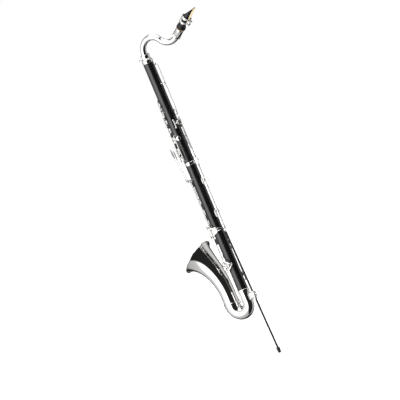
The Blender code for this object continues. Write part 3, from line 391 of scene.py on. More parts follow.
class Shape:
    """Closed shells gathered into one mesh, each with one of the shape's paints."""

    def __init__(self, *paints):
        self.paints = paints or (NICKEL,)
        self.work = bmesh.new()

    def grid(self, rings, place=None, paint=0, loop=True, wrap=False):
        """Faces between rings of points; a ring of one point is a pole.
        Wrap joins the last ring to the first."""
        place = place or Matrix.Identity(4)
        made = [[self.work.verts.new(place @ Vector(p)) for p in ring] for ring in rings]
        pairs = list(zip(made, made[1:]))
        if wrap:
            pairs.append((made[-1], made[0]))
        for one, two in pairs:
            count = max(len(one), len(two))
            for k in range(count if loop else count - 1):
                n = (k + 1) % count
                corners = [one[0 if len(one) == 1 else k], one[0 if len(one) == 1 else n],
                           two[0 if len(two) == 1 else n], two[0 if len(two) == 1 else k]]
                unique = list(dict.fromkeys(corners))
                if len(unique) > 2:
                    self.work.faces.new(unique).material_index = paint

    def lathe(self, profile, place=None, segments=48, paint=0, teeth=0, bite=0.0, toothed=None):
        """Solid turned round local Z. A profile that ends on the axis is a solid, any other a ring.
        Teeth cut into the points whose radius is above toothed."""
        rings = []
        for r, z in profile:
            if r < 1e-7:
                rings.append([(0.0, 0.0, z)])
                continue
            ring = []
            for k in range(segments):
                a = 2 * pi * k / segments
                cut = bite if teeth and r > toothed and (k * teeth * 2 // segments) % 2 else 0.0
                ring.append(((r - cut) * cos(a), (r - cut) * sin(a), z))
            rings.append(ring)
        on_axis = profile[0][0] < 1e-7 and profile[-1][0] < 1e-7
        self.grid(rings, place, paint, wrap=not on_axis)

    def sweep(self, points, radii, sides=14, paint=0, flat=1.0, up=None, closed=False, wall=None):
        """Round or oval bar along points, with rounded ends, or an open tube when it has a wall.
        Flat is the section's height over its width; up is near the height's direction."""
        count = len(points)
        radii = [radii] * count if isinstance(radii, float) else list(radii)
        headings = []
        for k in range(count):
            after = points[(k + 1) % count] if closed or k < count - 1 else points[k]
            before = points[k - 1] if closed or k > 0 else points[k]
            headings.append((after - before).normalized())
        side = None
        frames = []
        for k, heading in enumerate(headings):
            if callable(up):
                height = up(points[k])
            elif up is not None:
                height = up
            else:
                height = side or (Vector((0, 0, 1)) if abs(heading.z) < 0.9 else Vector((0, 1, 0)))
            height = (height - heading * height.dot(heading)).normalized()
            side = height if up is None else side
            frames.append((height, heading.cross(height)))

        def ring(k, scale, shift=0.0, inset=0.0):
            height, width = frames[k]
            r = max(radii[k] * scale - inset, 1e-5)
            centre = points[k] + headings[k] * shift
            return [centre + height * (r * flat * cos(2 * pi * j / sides))
                    + width * (r * sin(2 * pi * j / sides)) for j in range(sides)]
        if closed:
            self.grid([ring(k, 1.0) for k in range(count)], None, paint, wrap=True)
            return
        if wall:
            outer = [ring(k, 1.0) for k in range(count)]
            inner = [ring(k, 1.0, 0.0, wall) for k in range(count)]
            self.grid(outer + inner[::-1], None, paint, wrap=True)
            return
        bulge = min(flat, 1.0)
        rings = [[points[0] - headings[0] * radii[0] * bulge]]
        for step in (60, 30):
            rings.append(ring(0, cos(radians(step)), -radii[0] * bulge * sin(radians(step))))
        rings += [ring(k, 1.0) for k in range(count)]
        for step in (30, 60):
            rings.append(ring(count - 1, cos(radians(step)),
                              radii[-1] * bulge * sin(radians(step))))
        rings.append([points[-1] + headings[-1] * radii[-1] * bulge])
        self.grid(rings, None, paint)

    def slab(self, outline, thick, place, edge=0.0005, crown=0.0, paint=0):
        """Plate of an outline in local Y and Z, with rounded edges and a crowned or dished face."""
        reach = max(sqrt(y * y + z * z) for y, z in outline)
        half = thick / 2

        def ring(x, inset, lift=0.0):
            share = 1.0 - inset / reach
            return [(x + lift, y * share, z * share) for y, z in outline]
        rings = [[(-half, 0, 0)], ring(-half, edge), ring(-half + edge * 0.3, edge * 0.3),
                 ring(-half + edge, 0), ring(half - edge, 0), ring(half - edge * 0.3, edge * 0.3),
                 ring(half, edge)]
        for share in (0.8, 0.55, 0.3):
            rings.append(ring(half, reach * (1 - share), crown * (1 - share * share)))
        rings.append([(half + crown, 0, 0)])
        self.grid(rings, place, paint)

    def brick(self, size, place, edge):
        """Block with rounded edges."""
        part = bmesh.new()
        bmesh.ops.create_cube(part, size=1.0)
        bmesh.ops.scale(part, verts=part.verts, vec=size)
        bmesh.ops.bevel(part, geom=list(part.edges), offset=edge, segments=2, profile=0.5,
                        affect="EDGES")
        self.take(part, place)

    def take(self, part, place):
        """Copy another bmesh into this shape."""
        made = {v: self.work.verts.new(place @ v.co) for v in part.verts}
        for face in part.faces:
            self.work.faces.new([made[v] for v in face.verts])
        part.free()

    def finish(self, name, body, *nodes, turn=None, sharp=SHARP_ANGLE):
        """The piece as an object on its body, standing for the frame's nodes."""
        bmesh.ops.recalc_face_normals(self.work, faces=self.work.faces)
        if turn is not None:
            bmesh.ops.transform(self.work, verts=self.work.verts, matrix=turn)
        mesh = bpy.data.meshes.new(name)
        self.work.to_mesh(mesh)
        self.work.free()
        for paint in self.paints:
            mesh.materials.append(paint)
        mesh.shade_smooth()
        mesh.set_sharp_from_angle(angle=radians(sharp))
        made = bpy.data.objects.new(name, mesh)
        bpy.context.scene.collection.objects.link(made)
        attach(made, body)
        if nodes:
            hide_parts(*nodes)
        return made


def round_section(middle, radius, count, height=0.0):
    """Circle of a bead's section, at a distance and height for the lathe."""
    return [(middle + radius * cos(2 * pi * k / count), height + radius * sin(2 * pi * k / count))
            for k in range(count)]


def oval(width, length, power=3.0, count=40, taper=0.0):
    """Rounded rectangle outline, wider at +Z by its taper."""
    made = []
    for k in range(count):
        a = 2 * pi * k / count
        y = abs(cos(a)) ** (2 / power) * (1 if cos(a) >= 0 else -1) * width / 2
        z = abs(sin(a)) ** (2 / power) * (1 if sin(a) >= 0 else -1) * length / 2
        made.append((y * (1 + taper * z / (length / 2)), z))
    return made


def cut(target, cutter):
    """Take a cutter shape out of a finished object."""
    step = target.modifiers.new("Cut", "BOOLEAN")
    step.operation = "DIFFERENCE"
    step.solver = "EXACT"
    step.object = cutter
    bpy.context.view_layer.update()
    graph = bpy.context.evaluated_depsgraph_get()
    mesh = bpy.data.meshes.new_from_object(target.evaluated_get(graph))
    target.modifiers.clear()
    old = target.data
    target.data = mesh
    bpy.data.meshes.remove(old)
    bpy.data.objects.remove(cutter)
    mesh.shade_smooth()
    mesh.set_sharp_from_angle(angle=radians(SHARP_ANGLE))


def cutter(shape):
    mesh = bpy.data.meshes.new("cutter")
    bmesh.ops.recalc_face_normals(shape.work, faces=shape.work.faces)
    shape.work.to_mesh(mesh)
    shape.work.free()
    made = bpy.data.objects.new("cutter", mesh)
    bpy.context.scene.collection.objects.link(made)
    return made


def screw_head(shape, place, radius, height, paint=0, dark=0):
    """Domed head with a driver slot, standing on local Z."""
    slot = radius * 0.22
    for side in (-1, 1):
        arc = [(radius * cos(pi * k / 12), radius * sin(pi * k / 12)) for k in range(13)]
        low = [(side * max(y, slot), -side * x, 0.0) for x, y in arc]
        high = [(side * max(y * 0.86, slot), -side * x * 0.86, height) for x, y in arc]
        middle = (side * slot * 1.5, 0.0)
        shape.grid([[(*middle, 0.0)], low, [(x, y, height * 0.55) for x, y, z in low], high,
                    [(*middle, height * 1.15)]], place, paint)
    shape.lathe([(0, -height * 0.4), (radius * 0.98, -height * 0.4), (radius * 0.98, height * 0.25),
                 (0, height * 0.25)], place, 24, dark)


# Keywork -----------------------------------------------------------------------------------------

class Hole:
    """A tone hole with a raised rim."""

    def __init__(self, s, angle, radius):
        self.s = s
        self.angle = angle
        self.radius = radius
        self.rim = radius + 0.0014
        self.cup = radius + 0.0022
        self.seat = BODY_R + RISE

    def place(self):
        """Frame whose local Z runs outward, on the seat of the pad."""
        return frame_along(radial(self.angle, self.seat, down(self.s)), outward(self.angle),
                           Vector((0, 0, 1)))

    def top(self, lift=0.0):
        return radial(self.angle, self.seat + GAP + CUP_THICK + lift, down(self.s))


def line_point(angle, s):
    return radial(angle, LINE_R, down(s))


def chimney(shape, hole):
    """Raised rim of a tone hole, with a fillet into the wall and a rounded lip."""
    r, rim = hole.radius, hole.rim
    shape.lathe([(r, -0.006), (rim + 0.0012, -0.006), (rim + 0.0010, -0.0019),
                 (rim + 0.0003, -0.0014),
                 (rim, -0.0007), (rim - 0.0001, -0.00025), (rim - 0.0004, 0.0), (r + 0.0004, 0.0),
                 (r + 0.0001, -0.0002), (r, -0.0005)], hole.place(), 48)


def cup_shells(shape, hole, dished=False):
    """Metal cup of a key over its tone hole: a dome, or a dished finger plate."""
    r = hole.cup
    lift = GAP
    outer = [(r * 0.90, 0.0010), (r * 0.975, 0.0009), (r, 0.0012), (r, 0.0024), (r * 0.985, 0.0029)]
    if dished:
        crown = [(r * 0.95, 0.0036), (r * 0.90, 0.0040), (r * 0.85, 0.0041), (r * 0.78, 0.0038),
                 (r * 0.6, 0.0034), (r * 0.3, 0.0032), (0, 0.00315)]
    else:
        crown = [(r * 0.93, 0.0034), (r * 0.84, 0.00375), (r * 0.68, 0.0041), (r * 0.45, 0.00435),
                 (r * 0.2, 0.0045), (0, 0.00455)]
    profile = [(0, 0.0018), (r * 0.86, 0.0018)] + outer + crown
    shape.lathe([(a, z + lift) for a, z in profile], hole.place(), 56)


def pad(shape, hole):
    """Skin pad in a cup, pressed in a ring by the tone hole's rim."""
    r = hole.cup
    press = hole.rim - 0.0006
    profile = [(0, 0.0021), (r * 0.85, 0.0021), (r * 0.88, 0.0014), (r * 0.84, 0.0007),
               (press + 0.0006, 0.0004),
               (press, 0.00055), (press - 0.0007, 0.0004), (r * 0.2, 0.0003), (0, 0.0003)]
    shape.lathe(profile, hole.place(), 48)


def washer(shape, hole, paint):
    """Small metal resonator on the pad's face, inside the rim."""
    r = hole.radius * 0.52
    shape.lathe([(0, 0.0004), (r, 0.0004), (r * 0.96, 0.0001), (r * 0.5, -0.00015), (0, -0.0002)],
                hole.place(), 32, paint)


def pivot_tube(shape, start, end):
    """Hinge tube with rounded ends and a collar ring near each."""
    place = frame_along(start, end - start)
    length = (end - start).length
    radius = BARREL_R
    soft = 0.00035
    shape.lathe([(ROD_R, 0.0), (radius - soft, 0.0), (radius, soft), (radius, length - soft),
                 (radius - soft, length), (ROD_R, length)], place, 28)
    for z in (0.0012, length - 0.0012):
        shape.lathe([(radius - 0.0003, z - 0.0006), (radius + 0.00022, z - 0.0004),
                     (radius + 0.0003, z), (radius + 0.00022, z + 0.0004),
                     (radius - 0.0003, z + 0.0006)],
                    place, 28)


def saddle(shape, angle, s, width=0.0052):
    """Swelling of a pivot tube where an arm is soldered on."""
    place = frame_along(line_point(angle, s), Vector((0, 0, 1)))
    half = width / 2
    shape.lathe([(BARREL_R - 0.0003, -half), (BARREL_R + 0.0003, -half * 0.8),
                 (BARREL_R + 0.0007, -half * 0.4),
                 (BARREL_R + 0.0008, 0), (BARREL_R + 0.0007, half * 0.4),
                 (BARREL_R + 0.0003, half * 0.8), (BARREL_R - 0.0003, half)], place, 28)


def arm(shape, points, radii=ARM_R, flat=0.72):
    """Forged arm along a flowing line, oval in section, wide along the body."""
    path = flowing(points)
    if not isinstance(radii, float):
        first, last = radii
        radii = [first + (last - first) * k / (len(path) - 1) for k in range(len(path))]
    shape.sweep(path, radii, 14, 0, flat, away)


def touch(shape, angle, s, distance, size, power, crown=0.0007):
    """Finger touch facing outward: thickness, width and length."""
    place = frame_along(radial(angle, distance, down(s)), Vector((0, 0, 1)), outward(angle))
    thick, width, length = size
    shape.slab(oval(width, length, power, 44), thick, place, min(thick * 0.42, 0.0008), crown)


def spring(name, angle, post_s, toward_s, side):
    """Blued needle spring from a post to its catch on the pivot tube beside it."""
    shape = Shape(STEEL)
    shift = tangent(angle) * side * (BARREL_R + 0.0013)
    inner = -0.0005
    start = radial(angle, LINE_R - 0.0012, down(post_s)) + tangent(angle) * side * 0.0004
    middle = radial(angle, LINE_R + inner, down(post_s * 0.6 + toward_s * 0.4)) + shift * 0.95
    end = radial(angle, LINE_R + inner, down(toward_s)) + shift * 0.9
    path = flowing([start, middle, end])
    shape.sweep(path, [SPRING_R * (1.0 - 0.35 * k / (len(path) - 1)) for k in range(len(path))], 8)
    shape.finish(name + "_spring", "body")


def spring_catch(shape, angle, s, side):
    """Small hook on a pivot tube that its spring presses on."""
    base = radial(angle, LINE_R, down(s)) + tangent(angle) * side * (BARREL_R - 0.0002)
    tip = base + tangent(angle) * side * 0.0026
    bent = tip - outward(angle) * 0.0012
    shape.sweep(flowing([base, tip, bent], 4), 0.00055, 8)


def opening_sign(line_angle, hole):
    return 1.0 if line_angle > hole.angle else -1.0


def about_line(angle, degrees):
    """Turn about a pivot line along the body."""
    pivot = radial(angle, LINE_R, 0.0)
    return Matrix.Translation(pivot) @ Matrix.Rotation(radians(degrees), 4,
                                                       "Z") @ Matrix.Translation(-pivot)


def rod_key(name, angle, post_above, post_below, hole, extras=None, lifted=0.0, own_arm=True,
            dished=False, spring_side=1):
    """Key on a pivot tube along the body, with a padded cup over its tone hole if it has one."""
    clear = POST_R + GAP
    shape = Shape(NICKEL)
    pivot_tube(shape, line_point(angle, post_above + clear), line_point(angle, post_below - clear))
    turn = Matrix.Identity(4)
    if hole:
        turn = about_line(angle, lifted * opening_sign(angle, hole))
        cup_shells(shape, hole, dished)
        if own_arm:
            saddle(shape, angle, hole.s)
            over = radial((angle + hole.angle) / 2, LINE_R + 0.0024, down(hole.s))
            tip = hole.top(0.0004) + (hole.top() - line_point(angle, hole.s)).normalized() * 0.0006
            arm(shape, [line_point(angle, hole.s), over, tip], (ARM_R * 1.15, ARM_R * 0.85), 0.6)
        if not dished:
            shape.lathe([(0, 0.0040), (0.0022, 0.0040), (0.0020, 0.0049), (0.0014, 0.0054),
                         (0, 0.0056)],
                        hole.place(), 24)
    if extras:
        extras(shape)
    run = post_below - post_above
    reach = post_above + clear + min(0.022, run * 0.62)
    spring_catch(shape, angle, reach, spring_side)
    shape.finish(name + "_metal", name, name, turn=turn)
    if hole:
        skin = Shape(SKIN, NICKEL)
        pad(skin, hole)
        if hole.radius > 0.006:
            washer(skin, hole, 1)
        skin.finish(name + "_pad", name, turn=turn)
    spring(name, angle, post_above, reach - 0.0003, spring_side)


def seesaw_key(name, hole, pivot_s, touch_s, size, reach=LEVER_LINE_R, pivot_r=SEESAW_R, drop=0.0,
               power=2.8):
    """Lever along the body on a cross pivot, with its cup above it and its touch below."""
    angle = hole.angle
    across = tangent(angle)
    centre = radial(angle, pivot_r, down(pivot_s))
    half = across * (SEESAW_WIDTH / 2)
    shape = Shape(NICKEL)
    pivot_tube(shape, centre - half, centre + half)
    cup_shells(shape, hole)
    shape.lathe([(0, 0.0040), (0.0018, 0.0040), (0.0016, 0.0048), (0, 0.0052)], hole.place(), 24)
    knee = touch_s - 0.016
    route = [hole.top(0.0002),
             radial(angle, (reach + hole.seat + CUP_THICK) / 2, down(hole.s + 0.0022)),
             radial(angle, reach, down(hole.s + 0.0070))]
    steps = 6
    for k in range(1, steps):
        route.append(radial(angle, reach,
                            down(hole.s + 0.007 + (knee - hole.s - 0.007) * k / steps)))
    route += [radial(angle, reach, down(knee)), radial(angle, reach - drop, down(touch_s))]
    path = flowing(route, 4)
    shape.sweep(path, LEVER_R, 16, 0, 0.78, outward(angle))
    web = radial(angle, reach, down(pivot_s))
    shape.sweep([centre, centre.lerp(web, 0.5), web], [LEVER_R * 1.1, LEVER_R * 0.8, LEVER_R * 1.1],
                14)
    touch(shape, angle, touch_s, reach - drop, (0.0024, *size), power)
    shape.finish(name + "_metal", name, name)
    skin = Shape(SKIN)
    pad(skin, hole)
    skin.finish(name + "_pad", name)
    leaf = Shape(STEEL)
    root = radial(angle, BODY_R + 0.0007, down(pivot_s + 0.024))
    rise = radial(angle, BODY_R + 0.0016, down(pivot_s + 0.012))
    rest = radial(angle, reach - LEVER_R * 0.8 - 0.0006, down(pivot_s + 0.0035))
    leaf.sweep(flowing([root, rise, rest]), 0.0013, 10, 0, 0.16, outward(angle))
    screw_head(leaf, frame_along(root, outward(angle)), 0.0012, 0.0007)
    leaf.finish(name + "_leaf_spring", "body")
    pin = Shape(STEEL)
    side = SEESAW_WIDTH / 2 + GAP + 0.0024
    pin.lathe([(0, -side), (ROD_R - 0.0002, -side), (ROD_R - 0.0002, side), (0, side)],
              frame_along(centre, across), 20)
    screw_head(pin, frame_along(centre + across * side, across), 0.0010, 0.0003)
    pin.finish(name + "_pivot_screw", "body")


def ball_post(shape, angle, s, height, radius=POST_R, shift=0.0):
    """Turned post: flange on the wall, tapered stem and a ball that carries the pivot."""
    foot = radial(angle, BODY_R, down(s)) + tangent(angle) * shift
    place = frame_along(foot, outward(angle), Vector((0, 0, 1)))
    ball = radius * (1.22 if radius == POST_R else 1.0)
    low = height - ball * 0.82
    profile = [(0, -0.003), (radius * 1.05, -0.003), (radius * 1.45, 0.0001),
               (radius * 1.45, 0.0005),
               (radius * 1.30, 0.0008), (radius * 0.92, 0.0010), (radius * 0.74, low * 0.45),
               (radius * 0.70, low)]
    steps = 9
    for k in range(steps + 1):
        a = radians(-55 + 145 * k / steps)
        profile.append((max(ball * cos(a), 0.0) if k < steps else 0.0, height + ball * sin(a)))
    shape.lathe(profile, place, 28)


def line_posts(shape, angle, places):
    for s in places:
        ball_post(shape, angle, s, LINE_R - BODY_R)


def cross_posts(shape, angle, s, distance=SEESAW_R):
    offset = SEESAW_WIDTH / 2 + GAP + 0.0014
    for side in (-1, 1):
        ball_post(shape, angle, s, distance - BODY_R, 0.0014, side * offset)


def line_rod(name, angle, places):
    """Steel rod through the posts of a line, with a slotted head at its upper end."""
    shape = Shape(STEEL)
    first, last = min(places), max(places)
    start = line_point(angle, first - 0.0028)
    end = line_point(angle, last + 0.0026)
    shape.sweep([start, end], ROD_R - 0.0001, 20)
    screw_head(shape, frame_along(start, Vector((0, 0, 1))), 0.0014, 0.0007)
    shape.finish(name, "body")


# Places along and round the body: distance below the black top, angle round it, tone hole radius
STACK_LINE = -45.0
C_SHARP_LINE = -2.0
THUMB_LINE = 44.0
BRIDGE_LINE = -127.0
LINK_LINE = 117.0
RH_LINE = -135.0
EB_LINE = -45.0
FC_LINE = -24.0
FS_LINE = -61.0
RIGHT_LINE = 150.0
LOWER_RIGHT_LINE = -160.0

REGISTER = Hole(0.009, 100.0, 0.0026)
THROAT_A = Hole(0.126, FRONT, 0.0046)
THROAT_GS = Hole(0.144, -34.0, 0.0046)
THUMB = Hole(0.214, 80.0, 0.0058)
VENT_BRIDGE = Hole(0.188, FRONT, 0.0040)
LH_PLATES = [Hole(0.214, FRONT, 0.0066), Hole(0.246, FRONT, 0.0068), Hole(0.284, FRONT, 0.0072)]
SLIVER = Hole(0.319, FRONT, 0.0060)
C_SHARP = Hole(0.262, 24.0, 0.0060)
LINK_VENT = Hole(0.2085, 136.0, 0.0024)
TRILLS = [Hole(0.112, -146.0, 0.0044), Hole(0.142, -168.0, 0.0044),
          Hole(0.172, 171.5, 0.0044), Hole(0.226, 148.0, 0.0044)]
TRILL_PIVOTS = [0.180, 0.194, 0.208, 0.262]
TRILL_TOUCHES = [0.262, 0.272, 0.284, 0.298]
VENT_LOWER = Hole(lower(0.0625), FRONT, 0.0066)
RH_PLATES = [Hole(lower(0.1425), FRONT, 0.0082), Hole(lower(0.1795), FRONT, 0.0084),
             Hole(lower(0.2165), FRONT, 0.0084)]
AB_EB = Hole(lower(0.2645), FRONT, 0.0084)
F_C = Hole(lower(0.2275), 6.0, 0.0094)
FS_CS = Hole(lower(0.3185), -118.0, 0.0088)
E_B = Hole(lower(0.3485), -14.0, 0.0096)
LOW_EB = Hole(lower(0.3945), 190.0, 0.0096)

UPPER_HOLES = [REGISTER, THROAT_A, THROAT_GS, THUMB, VENT_BRIDGE, SLIVER, C_SHARP, LINK_VENT,
               *LH_PLATES, *TRILLS]
LOWER_HOLES = [VENT_LOWER, AB_EB, F_C, FS_CS, E_B, LOW_EB, *RH_PLATES]

REGISTER_PIVOT = 0.077
THROAT_A_PIVOT = 0.143
THROAT_GS_PIVOT = 0.166
STACK_POSTS = [0.2005, 0.2300, 0.2620, 0.3000, 0.3370]
C_SHARP_POSTS = [0.2500, 0.3370]
THUMB_POSTS = [0.2010, 0.2270]
BRIDGE_POSTS = [0.1800, UPPER_LENGTH - 0.0065]
LINK_UPPER_POSTS = [0.2000, UPPER_LENGTH - 0.0090]
BRIDGE_S = UPPER_LENGTH + 0.0040
LINK_LOWER_POSTS = [lower(t) for t in (0.0065, 0.2325)]
BRIDGE_LOWER_POSTS = [lower(t) for t in (0.0065, 0.1255)]
RH_POSTS = [lower(t) for t in (0.1255, 0.1605, 0.1985, 0.2365, 0.2845)]
EB_POSTS = [lower(t) for t in (0.0455, 0.3665)]
FC_POSTS = [lower(t) for t in (0.0455, 0.2125)]
FS_POSTS = [lower(t) for t in (0.0455, 0.1145)]
LOWER_RIGHT_POSTS = [lower(t) for t in (0.2605, 0.3365)]
RIGHT_POSTS = [lower(t) for t in (0.2425, 0.2585, 0.2745, 0.4145)]


# Body --------------------------------------------------------------------------------------------

def drill_all(joint, holes):
    """Cut the tone holes through the joint's wall."""
    drills = Shape(RESIN)
    for hole in holes:
        drills.lathe([(0, -0.012), (hole.radius, -0.012), (hole.radius, 0.004), (0, 0.004)],
                     hole.place(), 40)
    cut(joint, cutter(drills))


def joint_shell(name, profile, holes):
    """Tube of one black joint with its tone holes, and their rims as a piece of their own."""
    shape = Shape(RESIN)
    shape.lathe(profile, Matrix.Translation(AXIS) @ Matrix.Rotation(radians(1.3), 4, "Z"), 144)
    body = shape.finish(name + "_tube", "body", name)
    drill_all(body, holes)
    rims = Shape(RESIN)
    for hole in holes:
        chimney(rims, hole)
    rims.finish(name + "_tone_hole_rims", "body")


def body_joints():
    seat = BODY_R - RING_SEAT
    soft = 0.0004
    foot = down(UPPER_LENGTH)
    joint_shell("upper_joint", [
        (seat, WOOD_TOP_Z), (seat, HEAD_Z), (BODY_R - soft, HEAD_Z), (BODY_R, HEAD_Z - soft),
        (BODY_R, foot + soft), (BODY_R - soft, foot), (TENON_R, foot),
        (TENON_R, foot - TENON_LENGTH),
        (BORE_R, foot - TENON_LENGTH), (BORE_R, WOOD_TOP_Z)], UPPER_HOLES)
    socket = TENON_R + CORK_THICK + 2 * GAP
    floor = foot - TENON_LENGTH - 2 * GAP
    shoulder = down(lower(0.0))
    tenon = BOW_START_R - SHEET - 2 * GAP - CORK_THICK
    joint_shell("lower_joint", [
        (seat, foot - GAP), (seat, shoulder), (BODY_R - soft, shoulder), (BODY_R, shoulder - soft),
        (BODY_R, BODY_FOOT_Z + soft), (BODY_R - soft, BODY_FOOT_Z), (tenon, BODY_FOOT_Z),
        (tenon, BODY_FOOT_Z - TENON_LENGTH), (BORE_R, BODY_FOOT_Z - TENON_LENGTH), (BORE_R, floor),
        (socket, floor), (socket, foot - GAP)], LOWER_HOLES)


def posts():
    upper = Shape(NICKEL)
    for angle, places in ((STACK_LINE, STACK_POSTS), (C_SHARP_LINE, C_SHARP_POSTS),
                          (THUMB_LINE, THUMB_POSTS), (BRIDGE_LINE, BRIDGE_POSTS),
                          (LINK_LINE, LINK_UPPER_POSTS)):
        line_posts(upper, angle, places)
    cross_posts(upper, REGISTER.angle, REGISTER_PIVOT, REGISTER_PIVOT_R)
    cross_posts(upper, THROAT_A.angle, THROAT_A_PIVOT)
    cross_posts(upper, THROAT_GS.angle, THROAT_GS_PIVOT)
    for hole, pivot_s in zip(TRILLS, TRILL_PIVOTS):
        cross_posts(upper, hole.angle, pivot_s)
    upper.finish("upper_joint_posts", "body")
    low = Shape(NICKEL)
    for angle, places in ((LINK_LINE, LINK_LOWER_POSTS), (EB_LINE, EB_POSTS), (FC_LINE, FC_POSTS),
                          (RH_LINE, sorted(set(BRIDGE_LOWER_POSTS + RH_POSTS))),
                          (FS_LINE, FS_POSTS),
                          (LOWER_RIGHT_LINE, LOWER_RIGHT_POSTS), (RIGHT_LINE, RIGHT_POSTS)):
        line_posts(low, angle, places)
    low.finish("lower_joint_posts", "body")
    for name, angle, places in (
            ("stack_rod", STACK_LINE, STACK_POSTS), ("c_sharp_rod", C_SHARP_LINE, C_SHARP_POSTS),
            ("thumb_rod", THUMB_LINE, THUMB_POSTS), ("bridge_rod", BRIDGE_LINE, BRIDGE_POSTS),
            ("link_rod_upper", LINK_LINE, LINK_UPPER_POSTS),
            ("link_rod_lower", LINK_LINE, LINK_LOWER_POSTS),
            ("right_stack_rod", RH_LINE, BRIDGE_LOWER_POSTS + RH_POSTS),
            ("e_b_rod", EB_LINE, EB_POSTS),
            ("f_c_rod", FC_LINE, FC_POSTS), ("f_sharp_rod", FS_LINE, FS_POSTS),
            ("lower_right_rod", LOWER_RIGHT_LINE, LOWER_RIGHT_POSTS),
            ("right_rod", RIGHT_LINE, RIGHT_POSTS)):
        line_rod(name, angle, places)


def ring_band(name, outer, inner, low, high):
    """Plated ring with a bead at each edge and a line turned beside it."""
    soft = 0.0004
    bead = 0.0016
    drop = 0.00035
    profile = [(inner, low), (outer - soft, low), (outer, low + soft), (outer, low + bead),
               (outer - drop, low + bead + 0.0003), (outer - drop, low + bead + 0.0007)]
    flank = outer - 0.00012
    profile += [(flank, low + bead + 0.0010), (flank + 0.00008, (low + high) / 2),
                (flank, high - bead - 0.0010),
                (outer - drop, high - bead - 0.0007), (outer - drop, high - bead - 0.0003),
                (outer, high - bead), (outer, high - soft), (outer - soft, high), (inner, high)]
    shape = Shape(NICKEL)
    shape.lathe(profile, Matrix.Translation(AXIS), 128)
    shape.finish(name + "_metal", "body", name)


def rings():
    outer = BODY_R + RING_PROUD
    seat = BODY_R - RING_SEAT + GAP
    ring_band("top_ring", outer, seat, HEAD_Z + GAP, WOOD_TOP_Z)
    ring_band("middle_ring", outer, seat, down(lower(0.0)) + GAP, down(UPPER_LENGTH) - GAP)
    ring_band("bottom_ring", BOW_START_R + GAP + 0.0014, BOW_START_R + GAP,
              BODY_FOOT_Z - RING_HEIGHT, BODY_FOOT_Z - GAP)


def bow():
    steps = 60
    points = [AXIS + Vector((0, 0, BODY_FOOT_Z - 2 * GAP)),
              AXIS + Vector((0, 0, BODY_FOOT_Z - 0.012))]
    radii = [BOW_START_R, BOW_START_R]
    for step in range(steps + 1):
        turn = pi * step / steps
        points.append(AXIS + Vector((0, (cos(turn) - 1) * BOW_BEND_R,
                                     BEND_Z - sin(turn) * BOW_BEND_R)))
        radii.append(BOW_START_R + (BOW_END_R - BOW_START_R) * step / steps)
    points.append(AXIS + Vector((0, -2 * BOW_BEND_R, BOW_JOINT_Z - GAP)))
    radii.append(BOW_END_R)
    shape = Shape(NICKEL)
    shape.sweep(points, radii, 96, 0, 1.0, Vector((1, 0, 0)), wall=SHEET)
    shape.finish("bow_metal", "body", "bow")


def bell_axis(share):
    """Point and direction on the bell's axis, from its straight part at 0 to its rim at 1."""
    turn = radians(BELL_TILT) * share
    point = AXIS + Vector((0, -2 * BOW_BEND_R - BELL_ARC_R * (1 - cos(turn)),
                           BOW_JOINT_Z + BELL_STRAIGHT + BELL_ARC_R * sin(turn)))
    return point, Vector((0, -sin(turn), cos(turn)))


def bell_radius(share):
    flare = BELL_RIM_R - BOW_END_R
    return BOW_END_R + flare * (0.62 * share ** 1.7 + 0.38 * share ** 7)


def bell():
    steps = 72
    start = AXIS + Vector((0, -2 * BOW_BEND_R, BOW_JOINT_Z))
    points = [start, start + Vector((0, 0, BELL_STRAIGHT / 2))]
    radii = [BOW_END_R, BOW_END_R]
    for step in range(steps + 1):
        points.append(bell_axis(step / steps)[0])
        radii.append(bell_radius(step / steps))
    shape = Shape(NICKEL)
    shape.sweep(points, radii, 144, 0, 1.0, Vector((1, 0, 0)), wall=SHEET)
    shape.finish("bell_metal", "body", "bell", sharp=60.0)
    rim, heading = bell_axis(1.0)
    place = frame_along(rim, heading, Vector((1, 0, 0)))
    bead_r = BELL_RIM_R + GAP + BELL_BEAD_R
    bead = Shape(NICKEL)
    bead.lathe(round_section(bead_r, BELL_BEAD_R, 20, -0.0004), place, 144)
    for inset, depth in ((0.0046, -0.0038), (0.0066, -0.0052)):
        bead.lathe(round_section(BELL_RIM_R - inset, 0.0005, 8, depth), place, 96)
    bead.finish("bell_rim_bead_metal", "body", "bell_rim_bead")
    inner = BOW_END_R + GAP
    half = (BELL_RING_HIGH.z - BELL_RING_LOW.z) / 2
    band = Shape(NICKEL)
    centre = Matrix.Translation(start)
    outer = inner + 0.0016
    band.lathe([(inner, -half), (outer - 0.0004, -half), (outer, -half + 0.0004),
                (outer, -half + 0.0022),
                (outer - 0.0007, -half + 0.0028), (outer - 0.0007, half - 0.0028),
                (outer, half - 0.0022),
                (outer, half - 0.0004), (outer - 0.0004, half), (inner, half)], centre, 128)
    band.finish("bell_ring_metal", "body", "bell_ring")
    back = -BOW_START_R - GAP
    front = -2 * BOW_BEND_R + BOW_END_R + 0.0016 + 2 * GAP
    brace = Shape(NICKEL)
    run = back - front
    place = frame_along(start + Vector((0, front + 2 * BOW_BEND_R, 0)), Vector((0, 1, 0)))
    brace.lathe([(0, 0), (0.0052, 0), (0.0052, 0.0008), (0.0035, 0.0016), (0.0027, run * 0.3),
                 (0.0034, run * 0.44), (0.0042, run * 0.5), (0.0034, run * 0.56),
                 (0.0027, run * 0.7),
                 (0.0032, run - 0.0024), (0.0048, run - 0.0014), (0.0048, run), (0, run)], place,
                 48)
    foot = frame_along(AXIS + Vector((0, back - 0.0011, BOW_JOINT_Z)), Vector((0, 0, 1)),
                       Vector((0, -1, 0)))
    brace.slab(oval(0.012, 0.014, 2.6), 0.0022, foot, 0.0006, 0.0002)
    brace.finish("bell_brace_metal", "body", "bell_brace")


# Floor peg ---------------------------------------------------------------------------------------

